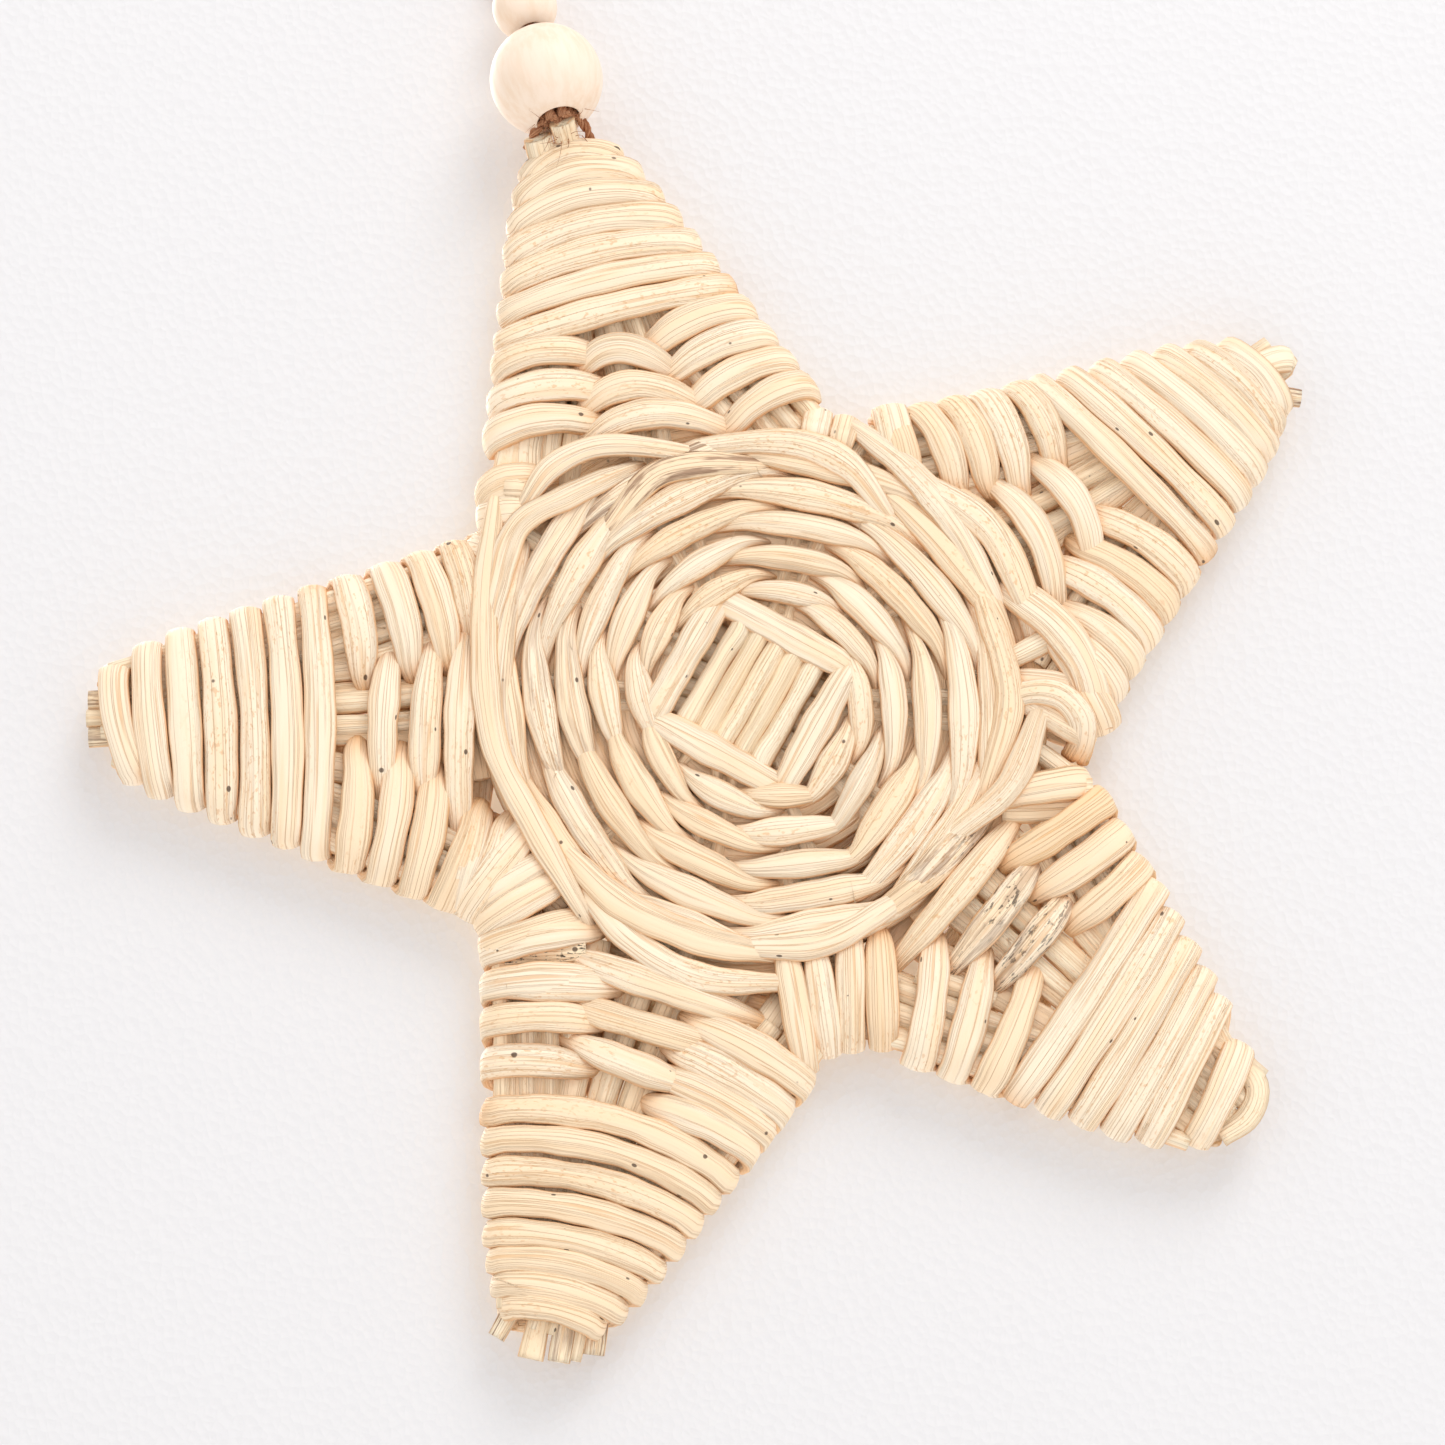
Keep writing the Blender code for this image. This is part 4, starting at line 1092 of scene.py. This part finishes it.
# Start and end direction of the reeds behind the rim, and degrees between their places
LINING_ARCS = ((290.0, 542.0), (198.0, 214.0), (233.0, 278.0))
LINING_STEP = 12.0
COURSE_LININGS = (11.6, 15.7, 20.0, 24.2, 28.5, 32.4)
COURSE_LINING_WIDTH = 3.0
COURSE_LINING_LEVEL = 0.6
for name, arm in arms.items():
    for hand in (-1, 1):
        side = arm.sides[hand]
        for depth, start, end in SIDE_STAKES:
            places = [side.at((start + (end - start) * share) * side.length, depth)
                      for share in (0.0, 0.5, 1.0)]
            stops = [stop(point, 0.0, side.inward, width, STAKE_THICKNESS)
                     for point, width in zip(places, SIDE_WIDTHS)]
            stakes.lay(stops, dive=0.0, ribs=STAKE_RIBS)
    # Behind the weave a fan of reeds fills the arm from side to side
    for lane in LANES:
        hand = 1 if lane > 0 else -1
        points = []
        for along, level in (*LINING_REACH, (arm.reach - LINING_END, LINING_TOP)):
            half = abs(arm.edge(hand, along).dot(arm.cross)) - LINING_INSET
            points.append((arm.place(along, lane * half), level))
        strip(stakes, LINING_WIDTH, LINING_THICKNESS, points, depth=ARM_LINING_SHADE, dive=0.0, spacing=3.0)

# %% [markdown]
# At the tips the reeds were cut off with shears, and a few of them stand out past the last wrap. They
# are strips like the others, with a flat end, placed one by one from readings of the same kind.

# %% Cut ends and loose reeds
END_RIBS = 1.3
# Single reeds: width, thickness, stain and places as radius, direction and level
LOOSE = (
    (3.0, 2.0, 0.0, ((27.0, 350.0, 0.6), (31.8, 351.8, 1.7), (39.2, 355.6, 2.1))),
    (6.4, 1.3, 0.0, ((47.0, 112.0, 1.5), (39.5, 122.6, 1.5))),
    (3.2, 1.4, 2.0, ((44.4, 211.6, 1.8), (38.0, 222.3, 1.8))),
    (5.2, 1.3, 0.0, ((34.0, 320.8, 1.4), (44.6, 327.2, 1.4))),
)
for width, thickness, stain, places in LOOSE:
    points = [(polar(radius, angle), level) for radius, angle, level in places]
    strip(stakes, width, thickness, points, stain=stain, dive=0.0, ribs=END_RIBS)
# For each arm the reeds that show at its tip: width, stain and places along and across the arm
TIP_REEDS = {
    "right": ((3.4, 0.0, ((72.0, 2.2, 2.6), (78.6, 1.4, 2.4), (81.0, 0.8, 0.6), (80.4, 0.6, -1.2),
                          (74.0, 0.6, -2.6))),
              (2.3, 0.8, ((70.0, -0.6, 0.8), (76.6, -2.2, 0.9), (79.6, -4.4, 0.8))),
              (2.6, 0.0, ((68.0, 3.4, 0.2), (80.2, 3.6, 0.2)))),
    "top": ((3.5, 0.0, ((66.0, 2.9, 0.6), (73.6, 2.9, 1.4), (76.7, 2.9, 4.6))),
            (3.5, 0.0, ((66.0, -0.7, 0.6), (74.2, -0.7, 1.5), (77.4, -0.7, 5.6)))),
    "left": ((2.5, 0.5, ((74.0, -2.8, 0.4), (82.6, -3.0, 0.5))),
             (2.2, 0.0, ((72.0, -0.6, 0.8), (82.8, -0.7, 0.8))),
             (2.5, 0.4, ((72.0, 1.6, 0.5), (82.6, 1.6, 0.4)))),
    "lower_left": ((2.4, 0.6, ((74.0, -3.0, 0.0), (84.8, -5.2, 0.2))),
                   (3.2, 0.0, ((74.0, -1.6, 0.6), (86.0, -0.4, 1.0))),
                   (2.7, 0.3, ((74.0, 1.4, 0.6), (85.3, 3.0, 1.2))),
                   (1.8, 0.0, ((74.0, 3.6, 0.4), (84.6, 4.7, 0.8))),
                   (2.8, 0.7, ((74.0, 4.8, -0.4), (83.2, 6.6, -0.3)))),
    "lower_right": ((2.7, 0.0, ((64.0, 5.4, 1.2), (78.6, 6.6, 1.0))),
                    (2.8, 0.0, ((64.0, 2.4, 1.2), (79.4, 3.2, 0.8))),
                    (3.2, 0.2, ((64.0, -1.0, 0.9), (79.8, 0.2, 0.7))),
                    (3.0, 0.0, ((66.0, -4.2, 0.6), (79.0, -3.2, 0.5))),
                    (3.0, 0.0, ((75.0, 6.6, 0.8), (78.9, 5.2, 1.3), (80.3, 1.8, 1.3),
                                (79.4, -2.2, 0.9)))),
}
TIP_REED_THICKNESS = 1.8
for name, reeds in TIP_REEDS.items():
    for width, stain, places in reeds:
        points = [(arms[name].place(along, across), level) for along, across, level in places]
        strip(stakes, width, TIP_REED_THICKNESS, points, stain=stain, dive=0.0, ribs=END_RIBS)

# %% Linings of the rim and the round middle
# Between the roots of the arms
for start, end in LINING_ARCS:
    steps = max(int((end - start) / LINING_STEP), 2)
    angles = [start + (end - start) * step / steps for step in range(steps + 1)]
    points = [(polar(LINING_RADIUS, angle), LINING_LEVEL) for angle in angles]
    strip(stakes, LINING_WIDTH, LINING_THICKNESS, points, depth=RIM_LINING_SHADE, dive=0.0,
          spacing=LINING_SPACING)
# Behind the courses of the round middle, so that no gap between them shows through
angles = [LINING_STEP * step for step in range(int(360.0 / LINING_STEP) + 1)]
for radius in COURSE_LININGS:
    for face in (1, -1):
        points = [(polar(radius, angle), face * COURSE_LINING_LEVEL) for angle in angles]
        strip(stakes, COURSE_LINING_WIDTH, LINING_THICKNESS, points, depth=COURSE_LINING_SHADE, dive=0.0,
              spacing=LINING_SPACING)
nodes = [name for name in frame["nodes"] if "stake" in name]
stakes.make(BARE, "rattan_stake", *nodes)

# %% [markdown]
# The beads are turned wooden balls with a drilled hole. A ball is added at its place, its poles are
# cut off with bisect where the hole opens, and the two round openings are joined by a bridge, which
# is the wall of the hole. A small bevel rounds its lip.

# %% The wood finish
WOOD_PALE = (0.92, 0.755, 0.61, 1)
WOOD_DEEP = (0.87, 0.67, 0.50, 1)
WOOD_WHITE = (0.94, 0.795, 0.67, 1)
# The grain runs along one direction, so its pattern is turned and stretched
GRAIN_TURN = (0.4, 0.5, 0.2)
GRAIN_STRETCH = (900.0, 900.0, 130.0)


def wood(name):
    """Pale turned wood with fine grain along one direction and soft lighter patches."""
    finish, tree, shader = new_finish(name)
    place = tree.nodes.new("ShaderNodeTexCoord").outputs["Object"]
    turned = tree.nodes.new("ShaderNodeMapping")
    tree.links.new(place, turned.inputs[0])
    turned.inputs["Rotation"].default_value = GRAIN_TURN
    turned.inputs["Scale"].default_value = GRAIN_STRETCH
    grain = noise(tree, turned.outputs[0], 1.0, 4.0, 0.6)
    wide = noise(tree, place, 140.0, 2.0)
    patches = calc(tree, "MULTIPLY", ramp(tree, wide, 0.4, 0.7), 0.35)
    colour = mix_colour(tree, ramp(tree, grain, 0.35, 0.7), WOOD_PALE, WOOD_DEEP)
    colour = mix_colour(tree, patches, colour, WOOD_WHITE)
    tree.links.new(colour, shader.inputs["Base Color"])
    tree.links.new(calc(tree, "MULTIPLY_ADD", grain, 0.2, 0.42), shader.inputs["Roughness"])
    relief(tree, shader, grain, 0.12, 0.2)
    return finish


WOOD = wood("bead_wood")
print("finish", WOOD.name)


def bead_line(rise):
    """A point on the line through both beads, leaning back towards the wall as it rises."""
    height, back = rise * math.cos(BEAD_LEAN), rise * math.sin(BEAD_LEAN)
    return world(BEAD_X, BEAD_Z + height, BEAD_FORWARD - back)


# %% Beads
LARGE_BORE = 5.2
SMALL_BORE = 3.2
BEAD_GAP = 0.3
BEAD_SEGMENTS = 48
BEAD_RINGS = 32
LIP_WIDTH = 0.35
LIP_ANGLE = math.radians(40.0)


def bead(name, diameter, bore, rise):
    """A drilled ball at its place on the line through both beads."""
    radius, hole = diameter / 2 * MM, bore / 2 * MM
    flat = math.sqrt(radius**2 - hole**2)
    bpy.ops.mesh.primitive_uv_sphere_add(segments=BEAD_SEGMENTS, ring_count=BEAD_RINGS, radius=radius)
    ball = bpy.context.object
    ball.name = name + "_wood"
    bpy.ops.object.mode_set(mode="EDIT")
    for height, direction in ((flat, 1), (-flat, -1)):
        bpy.ops.mesh.select_all(action="SELECT")
        bpy.ops.mesh.bisect(plane_co=(0, 0, height), plane_no=(0, 0, direction), clear_outer=True)
    shape = bmesh.from_edit_mesh(ball.data)
    for edge in shape.edges:
        edge.select = edge.is_boundary
    bpy.ops.mesh.bridge_edge_loops()
    bpy.ops.mesh.select_all(action="SELECT")
    bpy.ops.mesh.normals_make_consistent(inside=False)
    bpy.ops.object.mode_set(mode="OBJECT")
    lip = ball.modifiers.new("lip", "BEVEL")
    lip.width = LIP_WIDTH * MM
    lip.segments = 3
    lip.limit_method = "ANGLE"
    lip.angle_limit = LIP_ANGLE
    bpy.ops.object.modifier_apply(modifier=lip.name)
    bpy.ops.object.shade_smooth()
    ball.rotation_euler = (-BEAD_LEAN, 0.0, 0.0)
    ball.location = bead_line(rise)
    bpy.ops.object.transform_apply(location=True, rotation=True, scale=True)
    ball.data.materials.append(WOOD)
    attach(ball, "root")
    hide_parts(name)
    print(name, diameter, "mm,", len(ball.data.polygons), "faces")


SMALL_BEAD_RISE = (LARGE_BEAD + SMALL_BEAD) / 2 + BEAD_GAP
bead("large_bead", LARGE_BEAD, LARGE_BORE, 0.0)
bead("small_bead", SMALL_BEAD, SMALL_BORE, SMALL_BEAD_RISE)

# %% [markdown]
# The cord is two strands of reddish jute twisted together, with stray fibres. It comes out of the
# star's tip, goes through both beads to a knot, up and round as the hanging loop, and back to the
# knot. Its middle line is a list of given places, and the two strands wind round it.

# %% The jute finish
JUTE_DARK = (0.24, 0.075, 0.03, 1)
JUTE_PALE = (0.70, 0.38, 0.21, 1)


def jute(name):
    """Dull jute with fine threads along each strand."""
    finish, tree, shader = new_finish(name)
    along, turn = fibre_place(tree)
    place = combine(tree, calc(tree, "MULTIPLY", along, 0.35), calc(tree, "MULTIPLY", turn, 14.0), 0.0)
    threads = noise(tree, place, 1.0, 4.0, 0.7)
    colour = mix_colour(tree, ramp(tree, threads, 0.35, 0.7), JUTE_DARK, JUTE_PALE)
    tree.links.new(colour, shader.inputs["Base Color"])
    shader.inputs["Roughness"].default_value = 0.85
    shader.inputs["Specular IOR Level"].default_value = 0.15
    relief(tree, shader, threads, 0.7, 0.15)
    return finish


JUTE = jute("jute_cord")
print("finish", JUTE.name)

# %% The cord's line
CORD = 1.5
KNOT_HEIGHT = 5.0
KNOT_GAP = 0.3
KNOT_RISE = SMALL_BEAD_RISE + SMALL_BEAD / 2 + KNOT_HEIGHT / 2 + KNOT_GAP
LOOP_HEIGHT = 40.0
LOOP_WIDTH = 9.0
# The rising half of the loop: a first bend as shares of the gap at its foot and of its height, then
# shares of its width and height
LOOP_FOOT = (1.2, 0.15)
LOOP_SHAPE = ((0.3, 0.4), (0.5, 0.72), (0.34, 0.94))
# Where the cord passes the two mouths of the large bead
BORE_END = 7.0
CORD_SPACING = 0.35
CORD_START = (74.5, -0.6)
CORD_LEVEL = 0.2
CORD_BEND = (78.6, -0.4)
CORD_BEND_LEVEL = 2.0
# The turn round the cut ends at the tip: places along and across the arm, with levels
HITCH = ((76.2, 4.4, 3.0), (77.6, 3.0, 4.2), (78.9, 0.8, 4.8), (78.8, -1.6, 4.8), (77.2, -3.4, 3.2),
         (74.4, -3.7, 0.6))


def star_place(point):
    """World metres back to the star's millimetres, as a stop needs them."""
    return Vector((point.x / MM, point.y / MM, point.z / MM + LOOP_TOP))


def cord_places():
    """The cord's middle line, from inside the star's tip through both beads and round the loop."""
    top = arms["top"]
    start = top.place(*CORD_START)
    bend = top.place(*CORD_BEND)
    places = [world(start.x, start.y, CORD_LEVEL), world(bend.x, bend.y, CORD_BEND_LEVEL)]
    rises = (-BORE_END, 0.0, BORE_END, SMALL_BEAD_RISE, KNOT_RISE - KNOT_HEIGHT / 2)
    places += [bead_line(rise) for rise in rises]
    foot = bead_line(KNOT_RISE) + Vector((0.0, 0.0, (KNOT_HEIGHT / 2 + KNOT_GAP) * MM))
    apart, rise = CORD / 2 + KNOT_GAP, LOOP_HEIGHT - KNOT_GAP
    rising = [(apart, 0.0), (apart * LOOP_FOOT[0], rise * LOOP_FOOT[1])]
    rising += [(LOOP_WIDTH * wide, rise * high) for wide, high in LOOP_SHAPE]
    outline = [(-across, height) for across, height in rising] + [(0.0, rise)] + rising[::-1]
    for across, height in outline:
        back = foot.y * (1 - height / rise)
        places.append(Vector((foot.x + across * MM, back, foot.z + height * MM)))
    return places


def even_line(places, spacing):
    stops = [(*star_place(place), 1, 0, 0, 1, 1) for place in places]
    line, run = smooth_line(stops, spacing)
    return line[:, :3], run


cord_line, cord_run = even_line(cord_places(), CORD_SPACING)
print("cord", round(float(cord_run[-1]), 1), "mm long")

# %% Twisted strands
PLY = 1.05
TWIST_PITCH = 5.2
HITCH_PLY = 0.8
PLY_SPACING = 0.55
PLY_RIBS = 0.4
BORE_TURNS = 6
BORE_SPREAD = 1.65 * MM
BORE_RISES = (-6.6, -5.0, -3.0, -1.0)


def twisted(bundle, line, run, ply, pitch, offset):
    """Two round strands that wind round a line."""
    forward = unit(np.gradient(line, axis=0))
    side = unit(np.cross(forward, np.array([0.0, 1.0, 0.0])))
    other = np.cross(forward, side)
    for half in (0.0, math.pi):
        angle = run / pitch * 2 * math.pi + half
        reach = np.cos(angle)[:, None] * side + np.sin(angle)[:, None] * other
        centre = line + reach * offset
        stops = [(*place, *across, ply, ply) for place, across in zip(centre[::2], reach[::2])]
        bundle.lay(stops, spacing=PLY_SPACING, ribs=PLY_RIBS)


cord = Bundle("hanging_cord", 71)
twisted(cord, cord_line, cord_run, PLY, TWIST_PITCH, (CORD - PLY) / 2)
cord_piece = cord.make(JUTE, "jute_cord", "bead_cord", "hanging_loop")

# The same jute lies in a turn round the cut ends and fills the lower bead's bore
hitch = Bundle("tip_hitch", 73)
hitch_places = [world(*arms["top"].place(along, across), level) for along, across, level in HITCH]
hitch_line, hitch_run = even_line(hitch_places, CORD_SPACING)
twisted(hitch, hitch_line, hitch_run, HITCH_PLY, TWIST_PITCH, HITCH_PLY / 3)
for turn in range(BORE_TURNS):
    angle = turn * 2 * math.pi / BORE_TURNS
    aside = Vector((math.cos(angle), math.sin(angle), 0.0)) * BORE_SPREAD
    fill_line, fill_run = even_line([bead_line(rise) + aside for rise in BORE_RISES], CORD_SPACING)
    twisted(hitch, fill_line, fill_run, PLY, TWIST_PITCH, (CORD - PLY) / 2)
hitch.make(JUTE, "jute_cord")

# %% [markdown]
# A knot could be tied by following a cord over and under itself. At this size only its outer turns
# show, so it is one strand that coils round the cord, tilted as in a pulled overhand knot.

# %% Knot
KNOT_STEPS = 39
KNOT_TURNS = 2.6
KNOT_RADIUS = 1.35
KNOT_SWELL = 0.25
KNOT_CORD = 1.45
KNOT_ENDS = 1.6
# How far the turns tilt, and where the tilt begins, in radians
KNOT_TILT = 0.35
KNOT_TILT_START = 0.8
knot = Bundle("cord_knot", 72)
knot_middle = star_place(bead_line(KNOT_RISE))
coil = []
for step in range(KNOT_STEPS + 1):
    share = step / KNOT_STEPS
    angle = share * 2 * math.pi * KNOT_TURNS
    radius = KNOT_RADIUS + KNOT_SWELL * math.sin(share * math.pi)
    height = (share - 0.5) * (KNOT_HEIGHT - KNOT_ENDS)
    tilt = KNOT_TILT * math.sin(angle + KNOT_TILT_START)
    direction = Vector((math.cos(angle), math.sin(angle), tilt))
    place = knot_middle + direction * radius + Vector((0.0, 0.0, height))
    coil.append((*place, 0.0, 0.0, 1.0, KNOT_CORD, KNOT_CORD))
knot.lay(coil, spacing=0.4, ribs=0.6)
knot_piece = knot.make(JUTE, "jute_cord", "knot")

# %% [markdown]
# Fine loose fibres stand off the reeds, and reddish jute hairs surround the cord where it enters the
# large bead. Each is a very thin reed with a random bend.

# %% Loose fibres
HAIR_SHARES = (0.0, 0.35, 0.7, 1.0)
HAIR_LENGTHS = 6
HAIR_BEND = 0.3
HAIR_TAPER = 1.2
HAIR_WIDTH_ALONG = (1.0, 0.2, 0.3)


def scatter(chance, x, y, z):
    """A random offset with a spread of its own in each direction."""
    return Vector((chance.gauss(0, x), chance.gauss(0, y), chance.gauss(0, z)))


def hair(bundle, point, heading, length, thickness):
    """A thin curved hair. The point and the heading are in the star's millimetres, level as -y."""
    bend = scatter(bundle.chance, 1, 0.6, 1) * (length * HAIR_BEND)
    stops = []
    for share in HAIR_SHARES:
        place = point + heading * (length * share) + bend * share**2
        thin = thickness * (HAIR_TAPER - share)
        stops.append((*place, *HAIR_WIDTH_ALONG, thin, thin))
    bundle.lay(stops, dive=0.0, spacing=length / HAIR_LENGTHS, ribs=0.0)


# How many, the share of them on the round middle, and their ranges in millimetres
FIBRES = 90
FIBRES_IN_MIDDLE = 0.45
FIBRE_RADIUS = (12.0, 35.0)
FIBRE_FROM = 34.0
FIBRE_ACROSS = (0.03, 0.97)
FIBRE_LEVEL = (1.4, 2.9)
FIBRE_LENGTH = (1.2, 3.6)
FIBRE_THICKNESS = (0.08, 0.14)
fibres = Bundle("loose_fibres", 91)
chance = fibres.chance
for _ in range(FIBRES):
    if chance.random() < FIBRES_IN_MIDDLE:
        spot = polar(chance.uniform(*FIBRE_RADIUS), chance.uniform(0.0, 360.0))
    else:
        arm = chance.choice(list(arms.values()))
        along = chance.uniform(FIBRE_FROM, arm.reach)
        spot = arm.edge(1, along).lerp(arm.edge(-1, along), chance.uniform(*FIBRE_ACROSS))
    heading = scatter(chance, 1, 0.35, 1)
    heading = Vector((heading.x, -abs(heading.y), heading.z)).normalized()
    root = Vector((spot.x, -chance.uniform(*FIBRE_LEVEL), spot.y))
    hair(fibres, root, heading, chance.uniform(*FIBRE_LENGTH), chance.uniform(*FIBRE_THICKNESS))
fibres.make(BARE, "rattan_stake")

# %% Jute hairs
# How many in all and how many of them under the large bead, and their ranges in millimetres
HAIRS = 100
HAIRS_UNDER_BEAD = 40
HAIR_RISE = (-8.0, -6.0)
HAIR_LENGTH = (1.2, 3.0)
HAIR_THICKNESS = (0.06, 0.10)
# How far from the cord's middle a hair may begin, under the bead and along the cord
BEAD_SPREAD = 3.4
CORD_SPREAD = 0.5
fuzz = Bundle("jute_hairs", 92)
chance = fuzz.chance
for index in range(HAIRS):
    if index < HAIRS_UNDER_BEAD:
        middle_place = star_place(bead_line(chance.uniform(*HAIR_RISE)))
        spread = BEAD_SPREAD
    else:
        middle_place = Vector(cord_line[chance.randrange(len(cord_line))])
        spread = CORD_SPREAD
    offset = scatter(chance, 1, 0.6, 0.7).normalized()
    heading = (offset + Vector((0.0, -0.3, 0.8 * chance.choice((-1, 1))))).normalized()
    root = middle_place + offset * (spread * chance.uniform(0.3, 1.0))
    hair(fuzz, root, heading, chance.uniform(*HAIR_LENGTH), chance.uniform(*HAIR_THICKNESS))
fuzz.make(JUTE, "jute_cord")

# %% [markdown]
# The star lies close to a pale surface with a faint leather grain. The surface stands behind the
# star, is seen only from the front, and is no part of it. A plain floor is far below.

# %% Stage
WALL_LEVEL = -4.6
WALL_SIZE = 3.0
WALL_MIDDLE = -0.15
FLOOR_SIZE = 6.0
FLOOR_HEIGHT = -0.75
GRAIN_SCALE = 900.0


def surface(name, colour, grain, see_through=False):
    """A pale surface that is clear from behind, and for light too where it is see_through."""
    finish, tree, shader = new_finish(name)
    shader.inputs["Base Color"].default_value = colour
    shader.inputs["Roughness"].default_value = 0.75
    place = tree.nodes.new("ShaderNodeTexCoord").outputs["Object"]
    cells = tree.nodes.new("ShaderNodeTexVoronoi")
    cells.inputs["Scale"].default_value = GRAIN_SCALE
    tree.links.new(place, cells.inputs["Vector"])
    relief(tree, shader, cells.outputs["Distance"], grain, 0.2)
    clear = tree.nodes.new("ShaderNodeBsdfTransparent")
    behind = tree.nodes.new("ShaderNodeNewGeometry").outputs["Backfacing"]
    seen = tree.nodes.new("ShaderNodeLightPath").outputs["Is Camera Ray"]
    hidden = calc(tree, "MAXIMUM", behind, calc(tree, "SUBTRACT", 1.0, seen))
    blend = tree.nodes.new("ShaderNodeMixShader")
    tree.links.new(hidden if see_through else behind, blend.inputs[0])
    tree.links.new(shader.outputs[0], blend.inputs[1])
    tree.links.new(clear.outputs[0], blend.inputs[2])
    tree.links.new(blend.outputs[0], tree.nodes["Material Output"].inputs[0])
    return finish


bpy.ops.mesh.primitive_plane_add(size=WALL_SIZE, location=(0.0, -WALL_LEVEL * MM, WALL_MIDDLE),
                                 rotation=(math.pi / 2, 0.0, 0.0))
wall = bpy.context.object
wall.name = "backdrop"
wall.data.materials.append(surface("pale_surface", (0.77, 0.76, 0.77, 1), 0.6, see_through=True))
bpy.ops.mesh.primitive_plane_add(size=FLOOR_SIZE, location=(0.0, 0.0, FLOOR_HEIGHT))
floor = bpy.context.object
floor.name = "floor"
floor.data.materials.append(surface("pale_floor", (0.86, 0.86, 0.87, 1), 0.0))

# %% [markdown]
# The light is that of a bright room. The sky lights every side alike, a wide soft window stands in
# front on the right and above, and a second one behind, for whoever looks at the back.

# %% Light
sky = bpy.data.worlds.new("soft_room")
sky.use_nodes = True
feed(sky.node_tree, sky.node_tree.nodes["Background"], (1.0, 0.99, 0.98, 1), 1.0)
bpy.context.scene.world = sky


def soft_light(name, place, target, size, power):
    """A round window of light that faces its target."""
    data = bpy.data.lights.new(name, "AREA")
    data.shape = "DISK"
    data.size = size
    data.energy = power
    lamp = bpy.data.objects.new(name, data)
    lamp.location = place
    lamp.rotation_euler = (Vector(target) - Vector(place)).to_track_quat("-Z", "Y").to_euler()
    bpy.context.collection.objects.link(lamp)


STAR_MIDDLE = world(0.0, 0.0)
# Name, place from the star's middle and size in metres, and power in watts
WINDOWS = (("window", (0.6, -0.7, 0.8), 0.7, 5.4), ("rear_window", (-0.5, 0.9, 0.7), 0.8, 9.0))
for name, place, size, power in WINDOWS:
    soft_light(name, STAR_MIDDLE + Vector(place), STAR_MIDDLE, size, power)
bpy.context.scene.view_settings.view_transform = "Standard"

# %% [markdown]
# The camera looks a little from below and from the left, and is turned about its own axis, as the
# star lies turned in the picture. Its distance and the length of the lens give the beads and the
# tips their places in the frame.

# %% Camera
CAMERA_PLACE = world(-28.7, -90.5, 471.0)
CAMERA_TARGET = world(-4.2, -2.2)
PICTURE_TURN = math.radians(15.5)
# Focal length and picture side, both in pixels of the picture
FOCAL_PIXELS = 3840.0
PICTURE_PIXELS = 1445.0
SENSOR = 36.0
view = (CAMERA_TARGET - CAMERA_PLACE).normalized()
upward = Vector((math.sin(PICTURE_TURN), 0.0, math.cos(PICTURE_TURN)))
right = view.cross(upward).normalized()
upward = right.cross(view)
optics = bpy.data.cameras.new("camera")
optics.sensor_width = SENSOR
optics.lens = FOCAL_PIXELS / PICTURE_PIXELS * SENSOR
optics.clip_start = 0.01
camera = bpy.data.objects.new("camera", optics)
camera.matrix_world = Matrix((right, upward, -view)).transposed().to_4x4()
camera.location = CAMERA_PLACE
bpy.context.collection.objects.link(camera)
bpy.context.scene.camera = camera
